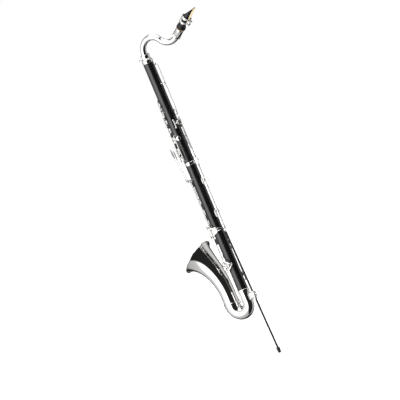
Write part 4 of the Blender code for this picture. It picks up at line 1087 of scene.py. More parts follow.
def wing_outline(width, height):
    """Two rounded wings beside a narrow waist."""
    made = []
    for k in range(56):
        a = 2 * pi * k / 56
        reach = 0.42 + 0.58 * abs(sin(a)) ** 1.4
        made.append((cos(a) * reach * width / 2 * 1.15, sin(a) * reach * height / 2))
    return made


def floor_peg():
    """Rod and rubber tip on the line the peg slides along, its foot at the frame's origin."""
    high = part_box("peg_rod")[1]
    joint = next(j for j in frame["joints"] if j["name"] == "floor_peg_slide")
    heading = Vector(joint["axis"]).normalized()
    if heading.z > 0:
        heading = -heading
    foot = Vector((0, 0, 0))
    start = foot - heading * ((BEND_Z + 0.016) / -heading.z)
    top = foot - heading * (high.z / -heading.z)
    rod = Shape(STEEL)
    place = frame_along(foot, -heading)
    length = (top - foot).length
    begin = PEG_TIP_LENGTH * 0.35
    rod.lathe([(0, begin), (PEG_R, begin), (PEG_R, length - 0.0016),
               (PEG_R - 0.0003, length - 0.0010),
               (PEG_R - 0.0012, length - 0.0003), (0, length - 0.0001)], place, 48)
    rod.finish("peg_rod_metal", "floor_peg", "peg_rod")
    tip = Shape(PEG_RUBBER)
    r = PEG_TIP_R
    tip.lathe([(0, 0.0), (r * 0.70, 0.0), (r * 0.79, 0.0006), (r * 0.82, 0.0014),
               (r * 0.80, 0.0022),
               (r * 0.85, 0.0030), (r * 0.83, 0.0038), (r * 0.88, 0.0046), (r * 0.90, 0.0100),
               (r * 0.96, 0.0150), (r * 0.985, 0.0166), (r * 0.93, PEG_TIP_LENGTH - 0.0003),
               (PEG_R + 0.0010, PEG_TIP_LENGTH), (PEG_R + 0.0003, PEG_TIP_LENGTH - 0.0006),
               (PEG_R + 0.0003, begin), (0, begin)], place, 56)
    tip.finish("peg_tip_rubber", "floor_peg", "peg_tip")
    peg_clamp(start, heading)
    peg_screw(start.z)


def peg_clamp(start, heading):
    """Collar on a block that is screwed to the bow, with a boss for the clamping screw."""
    clamp_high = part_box("peg_clamp")[1]
    z = start.z
    block_y = AXIS.y + BOW_START_R + GAP
    clamp = Shape(NICKEL)
    collar = frame_along(start, heading)
    bore = PEG_R + GAP
    ring = bore + 0.0029
    clamp.lathe([(bore, -0.0120), (ring - 0.0005, -0.0120), (ring, -0.0115), (ring, -0.0098),
                 (ring - 0.0006, -0.0092), (ring - 0.0006, 0.0132), (ring, 0.0138), (ring, 0.0155),
                 (ring - 0.0005, 0.0160), (bore, 0.0160)], collar, 56)
    clamp_body = frame_along(Vector((AXIS.x, block_y, z)), Vector((0, 1, 0)), Vector((1, 0, 0)))
    for side in (-1, 1):
        cheek = clamp_body @ Matrix.Translation((side * 0.0058, 0, 0.0105))
        clamp.brick((0.0054, 0.0168, 0.0205), cheek, 0.0012)
    saddle_place = frame_along(Vector((AXIS.x, block_y + 0.0016, z - 0.003)), Vector((0, 0, 1)),
                               Vector((0, 1, 0)))
    clamp.slab(oval(0.0168, 0.0290, 3.2), 0.0026, saddle_place, 0.0007, 0.0)
    clamp.brick((0.0062, 0.0168, 0.0070), clamp_body @ Matrix.Translation((0, 0, 0.0048)), 0.0008)
    boss = frame_along(Vector((AXIS.x, start.y + bore, z)), Vector((0, 1, 0)))
    reach = clamp_high.y - start.y - bore
    clamp.lathe([(0.0026, 0.0006), (0.0048, 0.0006), (0.0048, reach - 0.0006), (0.0042, reach),
                 (0.0026, reach)], boss, 40)
    for side in (-1, 1):
        spot = Vector((AXIS.x + side * 0.0046, block_y + 0.0029, z - 0.0125))
        screw_head(clamp, frame_along(spot, Vector((0, 1, 0))), 0.0015, 0.0006)
    clamp.finish("peg_clamp_metal", "body", "peg_clamp")


def peg_screw(z):
    """Winged screw that clamps the peg's rod."""
    begin_y, end_y = (corner.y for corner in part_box("peg_screw"))
    screw = Shape(NICKEL)
    along = frame_along(Vector((AXIS.x, begin_y, z)), Vector((0, 1, 0)))
    shank = end_y - begin_y - 0.0110
    profile = [(0, 0), (0.0015, 0), (0.0019, 0.0004)]
    turns = 12
    for k in range(turns):
        at = 0.0008 + (shank - 0.0040) * k / turns
        profile += [(0.0021, at), (0.00185, at + (shank - 0.0040) / turns / 2)]
    profile += [(0.0021, shank - 0.0032), (0.0040, shank - 0.0030), (0.0043, shank - 0.0024),
                (0.0036, shank + 0.0020), (0.0026, shank + 0.0038), (0, shank + 0.0042)]
    screw.lathe(profile, along, 36)
    wing = frame_along(Vector((AXIS.x, begin_y + shank + 0.0058, z)), Vector((0, 0, 1)),
                       Vector((1, 0, 0)))
    screw.slab(wing_outline(0.0098, 0.0178), 0.0026, wing, 0.0009, -0.0002)
    screw.finish("peg_screw_metal", "peg_screw", "peg_screw")


# Neck and mouthpiece -----------------------------------------------------------------------------

def bend(points, heading, target, radius, step=3.0):
    """Carry a route in the YZ plane round an arc, from one heading to another above level."""
    start = points[-1]
    turn = 1.0 if target > heading else -1.0
    count = round(abs(target - heading) / step)
    for index in range(1, count + 1):
        now = heading + (target - heading) * index / count
        points.append(start + Vector((0,
                                      turn * radius * (sin(radians(now)) - sin(radians(heading))),
                                      turn * radius * (cos(radians(heading)) - cos(radians(now))))))


RECEIVER_TOP_Z = WOOD_TOP_Z + GAP + RECEIVER_HEIGHT
MOUTH_AXIS = Vector((0, cos(radians(NECK_HEADING)), sin(radians(NECK_HEADING))))
REED_SIDE_UP = Vector((0, -sin(radians(NECK_HEADING)), cos(radians(NECK_HEADING))))


def neck_route():
    points = [AXIS + Vector((0, 0, WOOD_TOP_Z - NECK_SEAT)),
              AXIS + Vector((0, 0, RECEIVER_TOP_Z + NECK_RISE))]
    bend(points, 90.0, NECK_BEND_END, NECK_BEND_R)
    bend(points, NECK_BEND_END, NECK_HEADING, NECK_DIP_R)
    return points


SLEEVE_START = neck_route()[-1]
MOUTHPIECE_BASE = SLEEVE_START + MOUTH_AXIS * (NECK_SLEEVE_LENGTH + NECK_CORK_SHOWING + GAP)


def neck():
    route = neck_route()
    route.append(MOUTHPIECE_BASE + MOUTH_AXIS * (MOUTHPIECE_SOCKET - 0.001))
    pipe = Shape(NICKEL)
    pipe.sweep(route, NECK_R, 72, 0, 1.0, Vector((1, 0, 0)), wall=SHEET)
    pipe.finish("neck_pipe_metal", "neck", "neck_pipe")
    place = frame_along(SLEEVE_START, MOUTH_AXIS, REED_SIDE_UP)
    inner = NECK_R + GAP
    outer = inner + NECK_SLEEVE_WALL
    end = NECK_SLEEVE_LENGTH
    sleeve = Shape(NICKEL)
    sleeve.lathe([(inner, -0.0002), (inner + 0.0026, 0.0), (outer + 0.0010, 0.0006),
                  (outer + 0.0012, 0.0015),
                  (outer + 0.0009, 0.0026), (outer, 0.0036), (outer, 0.0060),
                  (outer - 0.0003, 0.0064),
                  (outer, 0.0068), (outer - 0.0002, end - 0.0072), (outer, end - 0.0066),
                  (outer, end - 0.0012),
                  (outer - 0.0004, end - 0.0003), (outer - 0.0010, end), (inner, end)], place, 72)
    sleeve.finish("neck_sleeve_metal", "neck", "neck_sleeve")
    high = end + NECK_CORK_SHOWING + MOUTHPIECE_SOCKET - 0.001
    ring = inner + MOUTHPIECE_CORK
    cork = Shape(CORK)
    cork.lathe([(inner, end + GAP), (ring + 0.0002, end + GAP), (ring + 0.0006, end + 0.0011),
                (ring + 0.0004, end + NECK_CORK_SHOWING - 0.0004), (ring, end + NECK_CORK_SHOWING),
                (ring, high - 0.0006), (ring - 0.0006, high), (inner, high)], place, 64)
    cork.finish("neck_cork_ring", "neck", "neck_cork")
    tenon = inner + NECK_TENON_WALL
    collar = tenon + 0.0028
    top = RECEIVER_TOP_Z + NECK_RISE - GAP
    base = RECEIVER_TOP_Z + GAP
    turned = Shape(NICKEL)
    turned.lathe([(inner, top), (inner + 0.0012, top), (collar - 0.0008, top - 0.0008),
                  (collar, top - 0.0014),
                  (collar, base + 0.0004), (collar - 0.0004, base), (tenon, base),
                  (tenon, WOOD_TOP_Z - NECK_SEAT), (inner, WOOD_TOP_Z - NECK_SEAT)],
                 Matrix.Translation(AXIS), 72)
    turned.finish("neck_tenon_metal", "neck", "neck_tenon")
    receiver(tenon + GAP)


def receiver(inner):
    """Socket on the body's head that the neck turns in, with its clamping thumb screw."""
    outer = inner + RECEIVER_WALL
    low = WOOD_TOP_Z + GAP
    z = (low + RECEIVER_TOP_Z) / 2
    high = RECEIVER_TOP_Z
    skirt = BODY_R - 0.0012
    ring = Shape(NICKEL)
    ring.lathe([(inner, low), (skirt - 0.0004, low), (skirt, low + 0.0004), (skirt, low + 0.0012),
                (outer + 0.0012, low + 0.0022), (outer + 0.0002, low + 0.0034),
                (outer, low + 0.0044),
                (outer, high - 0.0042), (outer + 0.0007, high - 0.0036),
                (outer + 0.0009, high - 0.0024),
                (outer + 0.0009, high - 0.0010), (outer + 0.0005, high - 0.0003), (outer, high),
                (inner, high)], Matrix.Translation(AXIS), 112)
    boss = frame_along(AXIS + Vector((0, -inner - 0.0008, z)), Vector((0, -1, 0)))
    reach = RECEIVER_WALL + 0.0052
    ring.lathe([(0.0024, 0), (0.0046, 0), (0.0044, reach - 0.0018), (0.0047, reach - 0.0012),
                (0.0047, reach - 0.0004), (0.0043, reach), (0.0024, reach)], boss, 40)
    ring.finish("neck_receiver_metal", "body", "neck_receiver")
    start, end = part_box("neck_screw")[1].y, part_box("neck_screw")[0].y
    length = start - end
    place = frame_along(Vector((AXIS.x, start, z)), Vector((0, -1, 0)))
    screw = Shape(NICKEL)
    hub = length - 0.0120
    profile = [(0, 0), (0.0016, 0), (0.0019, 0.0004)]
    for k in range(10):
        at = 0.0008 + (hub - 0.0012) * k / 10
        profile += [(0.0020, at), (0.00175, at + (hub - 0.0012) / 20)]
    profile += [(0.0020, hub - 0.0002), (0.0036, hub), (0.0038, hub + 0.0008),
                (0.0032, hub + 0.0044), (0.0020, hub + 0.0060), (0, hub + 0.0064)]
    screw.lathe(profile, place, 36)
    wing = frame_along(Vector((AXIS.x, end + 0.0049, z)), Vector((0, 0, 1)), Vector((1, 0, 0)))
    screw.slab(wing_outline(0.0096, 0.0148), 0.0024, wing, 0.0008, -0.0002)
    screw.finish("neck_screw_metal", "neck_screw", "neck_screw")


def mouthpiece():
    place = frame_along(MOUTHPIECE_BASE, MOUTH_AXIS, REED_SIDE_UP)
    length = MOUTHPIECE_LENGTH
    table = -TABLE_DEPTH
    tip = table + 0.0013
    shoulder = length * 0.47

    def outer(z):
        if z < 0.0090:
            return MOUTHPIECE_BASE_R - 0.0002 * (z / 0.009)
        if z < 0.0115:
            share = (z - 0.009) / 0.0025
            return MOUTHPIECE_BASE_R - 0.0002 - (MOUTHPIECE_BASE_R - MOUTHPIECE_R - 0.0002) * share
        return MOUTHPIECE_R * (1.0 - 0.14 * max(0.0, z / length - 0.5) * 2)

    def beak(z):
        share = max(0.0, (z - shoulder) / (length - shoulder))
        line = MOUTHPIECE_R + (tip - MOUTHPIECE_R) * share
        return line - 0.0011 * sin(pi * share)

    stations = [0.0, 0.0004, 0.0010, 0.0015, 0.0020, 0.0075, 0.0086, 0.0092, 0.0098, 0.0104, 0.0110,
                0.0116]
    count = 70
    stations += [0.0116 + (length - 0.0116) * k / count for k in range(1, count + 1)]
    sides = 128
    rings = []
    for z in stations:
        r = outer(z)
        if z < 0.0010:
            r -= 0.0005 - 0.5 * z
        flat = table if z > length * 0.20 else table - (length * 0.20 - z) * 0.7
        ring = []
        for k in range(sides):
            a = 2 * pi * k / sides
            x = r * cos(a)
            y = r * sin(a)
            if z > shoulder:
                x = min(x, beak(z))
            x = max(x, min(flat, beak(z) - 0.0004))
            curve = (y / 0.009) ** 2 * 0.0036 * (z / length) ** 10
            ring.append((x, y, z - curve))
        rings.append(ring)
    end = rings[-1]
    middle = (sum(p[0] for p in end) / sides, 0.0, length)
    socket = NECK_R + MOUTHPIECE_CORK + 2 * GAP + 0.0001
    inside = []
    for r, z in ((MOUTHPIECE_BASE_R - 0.0012, 0.0), (socket + 0.0004, 0.0), (socket, 0.0005),
                 (socket, MOUTHPIECE_SOCKET)):
        inside.append([(r * cos(2 * pi * k / sides), r * sin(2 * pi * k / sides),
                        z) for k in range(sides)])
    shape = Shape(HARD_RUBBER)
    shape.grid([[(0, 0, MOUTHPIECE_SOCKET)]] + inside[::-1] + rings + [[middle]], place)
    for z in (0.0030, 0.0046):
        shape.lathe(round_section(MOUTHPIECE_BASE_R + 0.00012, 0.0003, 8, z), place, 96)
    shape.finish("mouthpiece_rubber", "mouthpiece", "mouthpiece", sharp=30.0)
    reed(place)
    ligature(place)


def reed(place):
    """Cane reed: flat on the table, round bark below, scraped thin towards the tip."""
    end = MOUTHPIECE_LENGTH - 0.0004
    start = end - REED_LENGTH
    stations = 56
    across = 18
    rings = []
    for k in range(stations + 1):
        share = k / stations
        z = start + REED_LENGTH * share
        width = REED_WIDTH * (0.86 + 0.14 * share) / 2
        full = REED_THICK if share < 0.44 else REED_THICK * (1.0 - (share - 0.44) / 0.56) ** 1.25
        heart = max(full, 0.00022)
        ring = []
        for j in range(across + 1):
            y = -width + 2 * width * j / across
            ring.append((y, 0.0, z))
        for j in range(across, -1, -1):
            y = -width + 2 * width * j / across
            bark = heart * (1.0 - 0.58 * (y / width) ** 2) if share < 0.44 else heart * (
                1.0 - (0.58 - 0.25 * share) * (y / width) ** 2)
            ring.append((y, max(bark, 0.00018), z))
        curve = 0.0032 * share ** 12
        rings.append([(-TABLE_DEPTH - GAP - t, y, z - curve * (y / width) ** 2) for y, t,
                      z in ring])

    def centre(ring):
        return [(sum(p[0] for p in ring) / len(ring), 0.0, ring[len(ring) // 4][2])]
    shape = Shape(CANE)
    shape.grid([centre(rings[0]), *rings, centre(rings[-1])], place)
    shape.finish("reed_cane_blade", "mouthpiece", "reed", sharp=32.0)


def ligature(place):
    """Two bands joined by bars round the reed and mouthpiece, drawn together by two screws."""
    shift = 0.0012
    inner = MOUTHPIECE_R + GAP + shift
    wall = 0.0009
    low = 0.0235
    high = 0.0475
    centre = place @ Matrix.Translation((-shift, 0, 0))
    lug_x = -inner - wall - 0.0026
    band = Shape(NICKEL)
    width = 0.0076
    for begin in (low, high - width):
        stop = begin + width
        band.lathe([(inner, begin), (inner + wall * 0.6, begin),
                    (inner + wall + 0.0003, begin + 0.0004),
                    (inner + wall + 0.0003, begin + 0.0010), (inner + wall, begin + 0.0014),
                    (inner + wall, stop - 0.0014), (inner + wall + 0.0003, stop - 0.0010),
                    (inner + wall + 0.0003, stop - 0.0004), (inner + wall * 0.6, stop),
                    (inner, stop)],
                   centre, 96)
    for turn in (-142.0, -62.0, 0.0, 62.0, 142.0):
        spot = centre @ Matrix.Rotation(radians(turn), 4, "Z") @ Matrix.Translation(
            (inner + wall / 2, 0, (low + high) / 2))
        band.brick((wall * 0.9, 0.0040, high - low - 2 * width + 0.001), spot, 0.0003)
    for name in ("ligature_screw_lower", "ligature_screw_upper"):
        joint = next(j for j in frame["joints"] if j["name"] == name + "_turn")
        start = Vector(joint["pos_m"])
        z = (centre.inverted() @ start).z
        for side in (-1, 1):
            lug = centre @ Matrix.Translation((lug_x + 0.0004, side * 0.0034, z))
            band.brick((0.0062, 0.0030, 0.0060), lug, 0.0008)
            ring = frame_along(centre @ Vector((lug_x - 0.0004, side * 0.0034 - 0.0015, z)),
                               (centre @ Vector((0, 1, 0)) - centre @ Vector((0, 0, 0))))
            band.lathe([(0.0017, 0.0), (0.0028, 0.0), (0.0030, 0.0004), (0.0030, 0.0026),
                        (0.0028, 0.0030), (0.0017, 0.0030)], ring, 32)
        along = frame_along(start, centre @ Vector((0, 1, 0)) - centre @ Vector((0, 0, 0)))
        screw = Shape(NICKEL)
        profile = [(0, 0), (0.0009, 0), (0.0012, 0.0003)]
        for k in range(14):
            profile += [(0.0013, 0.0005 + 0.0008 * k), (0.00108, 0.0009 + 0.0008 * k)]
        profile += [(0.0013, 0.0128), (0.0017, 0.0132), (0.0017, 0.0138), (0.0030, 0.0142),
                    (0.0034, 0.0148),
                    (0.0034, 0.0210), (0.0030, 0.0216), (0.0012, 0.0218), (0, 0.0219)]
        screw.lathe(profile, along, 96, 0, 24, 0.00022, 0.0032)
        screw.finish(name + "_metal", name, name)
    band.finish("ligature_band_metal", "mouthpiece", "ligature_band")


# Fixed fittings ----------------------------------------------------------------------------------

def thumb_rest():
    seat = radial(BACK, BODY_R + GAP + 0.0012, down(lower(0.1775)))
    place = frame_along(seat, Vector((0, 0, 1)), outward(BACK))
    shape = Shape(NICKEL)
    shape.slab(oval(0.012, 0.027, 3.6), 0.0024, place, 0.0007, 0.0)
    middle = place @ Vector((0.006, 0, -0.002))
    path = flowing([place @ Vector(p) for p in ((0.0002, 0, 0.0078), (0.0040, 0, 0.0086),
                                                (0.0085, 0, 0.0086),
                                                (0.0120, 0, 0.0077), (0.0130, 0, 0.0050),
                                                (0.0128, 0, 0.0028))], 5)
    shape.sweep(path, 0.0056, 24, 0, 0.22, lambda point: point - middle)
    for z in (-0.0095, 0.0004):
        screw_head(shape, frame_along(place @ Vector((0.0011, 0, z)), outward(BACK)), 0.0017,
                   0.0007)
    shape.finish("thumb_rest_metal", "body", "thumb_rest")


def strap_ring():
    seat = radial(BACK, BODY_R + GAP + 0.0014, down(lower(0.0625)))
    place = frame_along(seat, Vector((0, 0, 1)), outward(BACK))
    shape = Shape(NICKEL)
    shape.slab(oval(0.009, 0.026, 2.8), 0.0028, place, 0.0008, 0.0)
    shape.sweep([place @ Vector((0.0010, 0, 0)), place @ Vector((0.0030, 0, 0)),
                 place @ Vector((0.0056, 0, 0))], [0.0028, 0.0020, 0.0024], 20, 0, 1.0,
                 Vector((0, 0, 1)))
    side = frame_along(place @ Vector((0.0045 + 0.0085, 0, 0)), tangent(BACK))
    shape.lathe(round_section(0.0085, 0.0016, 18), side, 56)
    for z in (-0.0098, 0.0098):
        screw_head(shape, frame_along(place @ Vector((0.0013, 0, z)), outward(BACK)), 0.0017,
                   0.0007)
    shape.finish("strap_ring_metal", "body", "strap_ring")


def guard_path(start, end):
    """Points round the body from one (angle, s) to another at the guard's height."""
    steps = 14
    return [radial(start[0] + (end[0] - start[0]) * k / steps, GUARD_R,
                   down(start[1] + (end[1] - start[1]) * k / steps)) for k in range(steps + 1)]


def key_guard(name, corners, feet):
    """Flat metal strip in a closed line over a large cup, on turned legs."""
    route = []
    for corner, following in zip(corners, corners[1:] + corners[:1]):
        route += guard_path(corner, following)[:-1]
    shape = Shape(NICKEL)
    shape.sweep(rounded(route, 0.5, 2, True), 0.0022, 18, 0, 0.5, away, True)
    for angle, s in feet:
        place = frame_along(radial(angle, BODY_R + GAP, down(s)), outward(angle))
        top = GUARD_R - BODY_R - GAP
        shape.lathe([(0, 0), (0.0034, 0), (0.0036, 0.0003), (0.0036, 0.0009), (0.0031, 0.0014),
                     (0.0016, 0.0020), (0.0012, 0.0036), (0.0011, top * 0.6),
                     (0.0014, top - 0.0030),
                     (0.0022, top - 0.0012), (0.0027, top - 0.0003), (0.0025, top + 0.0009),
                     (0.0016, top + 0.0013), (0, top + 0.0014)], place, 28)
    shape.finish(name + "_metal", "body", name)


def fittings():
    thumb_rest()
    strap_ring()
    triangle = [(-57.0, F_C.s - 0.019), (-57.0, F_C.s + 0.019), (62.0, F_C.s)]
    key_guard("key_guard_triangle", triangle, triangle)
    diamond = [(-14.0, E_B.s - 0.019), (34.0, E_B.s), (-14.0, E_B.s + 0.020), (-62.0, E_B.s)]
    key_guard("key_guard_diamond", diamond, diamond[1::2])


# Keys --------------------------------------------------------------------------------------------

def short_touch(line, s, swing, arm_r, touch_swing, touch_s, touch_r, size):
    """Touch on a short arm beside its pivot tube."""
    def add(shape):
        saddle(shape, line, s, 0.0060)
        tip = radial(line + swing, arm_r - 0.0004, down(s))
        middle = radial(line + swing * 0.5, (LINE_R + arm_r) / 2 + 0.0006, down(s))
        arm(shape, [line_point(line, s), middle, tip], (ARM_R * 1.1, ARM_R * 0.95), 0.66)
        touch(shape, line + touch_swing, touch_s, touch_r, size, 2.8)
    return add


def long_touch(line, angle, post_s, tip_s, knee_height, tip_height):
    """Little-finger lever: a bent arm off the top of a pivot tube, up to a long touch."""
    def add(shape):
        s = post_s + POST_R + GAP + LEVER_R
        start = line_point(line, s)
        rise = radial(line, LINE_R + 0.0062, down(s))
        knee = radial(angle, BODY_R + knee_height, down(post_s - 0.007))
        tip = radial(angle, BODY_R + tip_height, down(tip_s))
        heading = (tip - knee).normalized()
        saddle(shape, line, s + 0.0004, 0.0050)
        corners = rounded([start, rise, knee, tip - heading * 0.004], 0.25, 6)
        last = len(corners) - 1
        thick = [LEVER_R * 1.15 - LEVER_R * 0.35 * k / last for k in range(last + 1)]
        shape.sweep(corners, thick, 16)
        place = frame_along(tip - heading * 0.017, heading, outward(angle))
        shape.slab(oval(0.0070, 0.034, 3.4, 56, 0.10), 0.0022, place, 0.0008, 0.0006)
        rib = [place @ Vector((-0.0010, 0, z)) for z in (-0.015, -0.006, 0.004, 0.012)]
        shape.sweep(rib, [0.0012, 0.0011, 0.0009, 0.0006], 10)
    return add


def bridge_tab(line, start_s, swing, distance):
    """Finger of a bridge key that reaches across the joint beside its end post."""
    def add(shape):
        side = line + swing
        saddle(shape, line, start_s, 0.0048)
        route = [line_point(line, start_s), radial(side, LINE_R + 0.001, down(start_s)),
                 radial(side, distance, down(BRIDGE_S))]
        arm(shape, rounded(route, 0.3, 4), ARM_R * 0.95, 0.8)
        touch(shape, side, BRIDGE_S, distance, (0.0018, 0.006, 0.008), 3.0, 0.0003)
    return add


def both(*parts):
    def add(shape):
        for part in parts:
            part(shape)
    return add


def upper_keys():
    seesaw_key("register_key", REGISTER, REGISTER_PIVOT, 0.181, (0.011, 0.018),
               REGISTER_PIVOT_R + 0.0032, REGISTER_PIVOT_R, 0.0036, 2.2)
    seesaw_key("throat_a_key", THROAT_A, THROAT_A_PIVOT, 0.163, (0.010, 0.012))
    seesaw_key("throat_g_sharp_key", THROAT_GS, THROAT_GS_PIVOT, 0.188, (0.009, 0.014))
    for index, (hole, pivot_s, touch_s) in enumerate(zip(TRILLS, TRILL_PIVOTS, TRILL_TOUCHES), 1):
        seesaw_key("side_key_" + str(index), hole, pivot_s, touch_s, (0.0064, 0.020))
    for index, hole in enumerate(LH_PLATES, 1):
        rod_key("left_plate_" + str(index), STACK_LINE, STACK_POSTS[index - 1], STACK_POSTS[index],
                hole, None, PLATE_OPEN, dished=True)
    rod_key("sliver_key", STACK_LINE, STACK_POSTS[3], STACK_POSTS[4], SLIVER,
            short_touch(STACK_LINE, 0.306, 20, TOUCH_R - 0.0002, 22, 0.306, TOUCH_R,
                        (0.002, 0.006, 0.011)))
    rod_key("c_sharp_key", C_SHARP_LINE, C_SHARP_POSTS[0], C_SHARP_POSTS[1], C_SHARP,
            short_touch(C_SHARP_LINE, 0.322, -20, TOUCH_R, -22, 0.322, TOUCH_R + 0.0002,
                        (0.002, 0.008, 0.020)))
    rod_key("thumb_key", THUMB_LINE, THUMB_POSTS[0], THUMB_POSTS[1], THUMB, None, PLATE_OPEN,
            dished=True, spring_side=-1)
    rod_key("bridge_key_upper", BRIDGE_LINE, BRIDGE_POSTS[0], BRIDGE_POSTS[1], VENT_BRIDGE,
            bridge_tab(BRIDGE_LINE, UPPER_LENGTH - 0.012, 13, LINE_R + 0.0017), TRILL_OPEN,
            spring_side=-1)
    rod_key("octave_link_upper", LINK_LINE, LINK_UPPER_POSTS[0], LINK_UPPER_POSTS[1], LINK_VENT,
            bridge_tab(LINK_LINE, UPPER_LENGTH - 0.015, 13, LINE_R + 0.0017), TRILL_OPEN)


def lower_keys():
    rod_key("bridge_key_lower", RH_LINE, BRIDGE_LOWER_POSTS[0], BRIDGE_LOWER_POSTS[1], VENT_LOWER,
            bridge_tab(RH_LINE, lower(0.0125), 21, LINE_R + 0.0055), PLATE_OPEN, spring_side=-1)
    rod_key("octave_link_lower", LINK_LINE, LINK_LOWER_POSTS[0], LINK_LOWER_POSTS[1], None,
            bridge_tab(LINK_LINE, lower(0.0125), 13, LINE_R + 0.0055))
    for index, hole in enumerate(RH_PLATES, 1):
        rod_key("right_plate_" + str(index), RH_LINE, RH_POSTS[index - 1], RH_POSTS[index], hole,
                None, PLATE_OPEN, dished=True, spring_side=-1)
    rod_key("left_key_e_b", EB_LINE, EB_POSTS[0], EB_POSTS[1], E_B,
            long_touch(EB_LINE, -38.0, EB_POSTS[0], lower(-0.0715), 0.0185, 0.0265), PLATE_OPEN)

    def reach(shape):
        saddle(shape, FC_LINE, F_C.s - 0.027)
        arm(shape, [line_point(FC_LINE, F_C.s - 0.027),
                    radial(FC_LINE + 9, LINE_R + 0.0017, down(F_C.s - 0.015)), F_C.top(0.0004)],
            (ARM_R * 1.15, ARM_R * 0.95), 0.66)
    rod_key("left_key_f_c", FC_LINE, FC_POSTS[0], FC_POSTS[1], F_C,
            both(long_touch(FC_LINE, -20.0, FC_POSTS[0], lower(-0.0655), 0.0175, 0.0250), reach),
            PLATE_OPEN, own_arm=False)
    rod_key("left_key_f_sharp_c_sharp", FS_LINE, FS_POSTS[0], FS_POSTS[1], None,
            long_touch(FS_LINE, -54.0, FS_POSTS[0], lower(-0.0575), 0.0185, 0.0255))
    rod_key("right_key_a_flat_e_flat", RH_LINE, RH_POSTS[3], RH_POSTS[4], AB_EB,
            short_touch(RH_LINE, lower(0.2465), -19, TOUCH_R, -22, lower(0.2475), TOUCH_R + 0.0002,
                        (0.002, 0.009, 0.012)), spring_side=-1)
    rod_key("right_key_f_sharp_c_sharp", LOWER_RIGHT_LINE, LOWER_RIGHT_POSTS[0],
            LOWER_RIGHT_POSTS[1], FS_CS,
            short_touch(LOWER_RIGHT_LINE, lower(0.2825), -20, TOUCH_R, -23, lower(0.2825),
                        TOUCH_R + 0.0002, (0.002, 0.010, 0.012)), spring_side=-1)
    for index, label in enumerate(("f_c", "e_b")):
        s = (RIGHT_POSTS[index] + RIGHT_POSTS[index + 1]) / 2
        rod_key("right_key_" + label, RIGHT_LINE, RIGHT_POSTS[index], RIGHT_POSTS[index + 1], None,
                short_touch(RIGHT_LINE, s, 24, TOUCH_R - 0.0004, 26, s, TOUCH_R - 0.0002,
                            (0.002, 0.009, 0.012)), spring_side=-1)
    rod_key("right_key_low_e_flat", RIGHT_LINE, RIGHT_POSTS[2], RIGHT_POSTS[3], LOW_EB,
            short_touch(RIGHT_LINE, lower(0.2995), 24, TOUCH_R - 0.0004, 28, lower(0.2995),
                        TOUCH_R - 0.0002, (0.002, 0.009, 0.012)), PLATE_OPEN, spring_side=-1)


# Studio ------------------------------------------------------------------------------------------

FLOOR_R = 14.0
FLOOR_GAP = 0.0002
CAMERA_TURN = 35.0                                   # degrees round the body from +X towards +Y
CAMERA_RISE = 4.0
CAMERA_LEAN = 22.75                                  # roll, since the body leans in the picture
CAMERA_DISTANCE = 9.0
CAMERA_LENS = 249.0
TARGET_Z = 0.558
TARGET_SHIFT = -0.0165


def floor():
    """Plain white floor under the peg's tip."""
    paint, _, shader, _ = node_paint("studio_floor", (0.92, 0.92, 0.92), 0.6)
    shader.inputs["Specular IOR Level"].default_value = 0.15
    work = bmesh.new()
    bmesh.ops.create_circle(work, cap_ends=True, segments=96, radius=FLOOR_R)
    mesh = bpy.data.meshes.new("studio_floor")
    work.to_mesh(mesh)
    work.free()
    mesh.materials.append(paint)
    made = bpy.data.objects.new("studio_floor", mesh)
    made.location = (0, 0, cad_box[0][2] - FLOOR_GAP)
    bpy.context.scene.collection.objects.link(made)
    made.visible_glossy = False


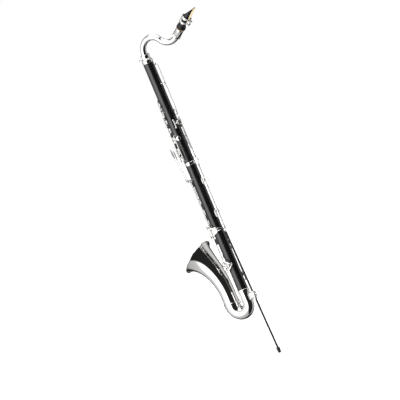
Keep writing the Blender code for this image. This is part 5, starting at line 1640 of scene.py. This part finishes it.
def world():
    """White room with two dark walls, a bright window and ceiling; plain white to the camera."""
    space = bpy.data.worlds.new("studio")
    space.use_nodes = True
    tree = space.node_tree
    tree.nodes.clear()

    def math(operation, one, two=None):
        node = tree.nodes.new("ShaderNodeMath")
        node.operation = operation
        for socket, value in zip(node.inputs, (one, two)):
            if value is None:
                continue
            if isinstance(value, float):
                socket.default_value = value
            else:
                tree.links.new(value, socket)
        return node.outputs[0]

    split = tree.nodes.new("ShaderNodeSeparateXYZ")
    tree.links.new(tree.nodes.new("ShaderNodeTexCoord").outputs["Generated"], split.inputs[0])
    angle = math("ARCTAN2", split.outputs["Y"], split.outputs["X"])
    share = math("FRACT", math("ADD", math("DIVIDE", angle, 2 * pi), 0.25))
    rise = math("ADD", math("MULTIPLY", split.outputs["Z"], 0.5), 0.5)

    def lit_part(round_levels, rise_levels):
        stops = [((a + 90) / 360, level) for a, level in round_levels]
        return math("MULTIPLY", levels(tree, share, stops), levels(tree, rise, rise_levels))
    walls = lit_part(WALLS, SHADE)
    window = lit_part(WINDOW, WINDOW_RISE)
    strength = math("ADD", walls, math("MULTIPLY", window, WINDOW_LEVEL))
    strength = math("ADD", strength, math("MULTIPLY", levels(tree, rise, CEILING), CEILING_LEVEL))
    rays = tree.nodes.new("ShaderNodeLightPath")
    lit = tree.nodes.new("ShaderNodeBackground")
    tree.links.new(strength, lit.inputs["Strength"])
    plain = tree.nodes.new("ShaderNodeBackground")
    plain.inputs["Strength"].default_value = 1.0
    plain.inputs["Color"].default_value = (1, 1, 1, 1)
    lit.inputs["Color"].default_value = (1, 1, 1, 1)
    mix = tree.nodes.new("ShaderNodeMixShader")
    tree.links.new(rays.outputs["Is Camera Ray"], mix.inputs["Fac"])
    tree.links.new(lit.outputs[0], mix.inputs[1])
    tree.links.new(plain.outputs[0], mix.inputs[2])
    end = tree.nodes.new("ShaderNodeOutputWorld")
    tree.links.new(mix.outputs[0], end.inputs["Surface"])
    bpy.context.scene.world = space


# Levels by the angle round the object, from -90 to 270 degrees,
# and by height, from 0 below to 1 above
WALLS = [(-90, 0.80), (-54, 0.86), (10, 0.86), (19, 0.02), (110, 0.02), (126, 0.72), (156, 0.72),
         (180, 0.04), (250, 0.04), (268, 0.72), (270, 0.78)]
SHADE = [(0.0, 0.55), (0.2, 0.8), (0.45, 1.0), (1.0, 1.0)]
WINDOW = [(-54, 0.0), (-38, 1.0), (6, 1.0), (16, 0.0)]
WINDOW_RISE = [(0.22, 0.0), (0.40, 1.0), (0.62, 1.0), (0.75, 0.0)]
WINDOW_LEVEL = 1.8
CEILING = [(0.92, 0.0), (0.97, 1.0)]
CEILING_LEVEL = 6.0


def camera():
    turn = radians(CAMERA_TURN)
    rise = radians(CAMERA_RISE)
    lean = radians(CAMERA_LEAN)
    back = Vector((cos(turn) * cos(rise), sin(turn) * cos(rise), sin(rise)))
    level = Vector((-sin(turn), cos(turn), 0))
    upright = back.cross(level)
    right = level * cos(lean) - upright * sin(lean)
    up = upright * cos(lean) + level * sin(lean)
    target = AXIS + Vector((0, 0, TARGET_Z)) + level * TARGET_SHIFT
    data = bpy.data.cameras.new("camera")
    data.lens = CAMERA_LENS
    data.sensor_width = 36.0
    data.clip_end = 60.0
    made = bpy.data.objects.new("camera", data)
    spot = target + back * CAMERA_DISTANCE
    made.matrix_world = Matrix.Translation(spot) @ Matrix((right, up, back)).transposed().to_4x4()
    bpy.context.scene.collection.objects.link(made)
    bpy.context.scene.camera = made


def main():
    body_joints()
    posts()
    rings()
    bow()
    bell()
    floor_peg()
    neck()
    mouthpiece()
    fittings()
    upper_keys()
    lower_keys()
    for name in ("middle_tenon_cork", "lower_tenon_cork"):
        for slot in frame["nodes"][name].material_slots:
            slot.material = CORK
    floor()
    world()
    camera()
    bpy.context.scene.view_settings.view_transform = "Standard"


main()
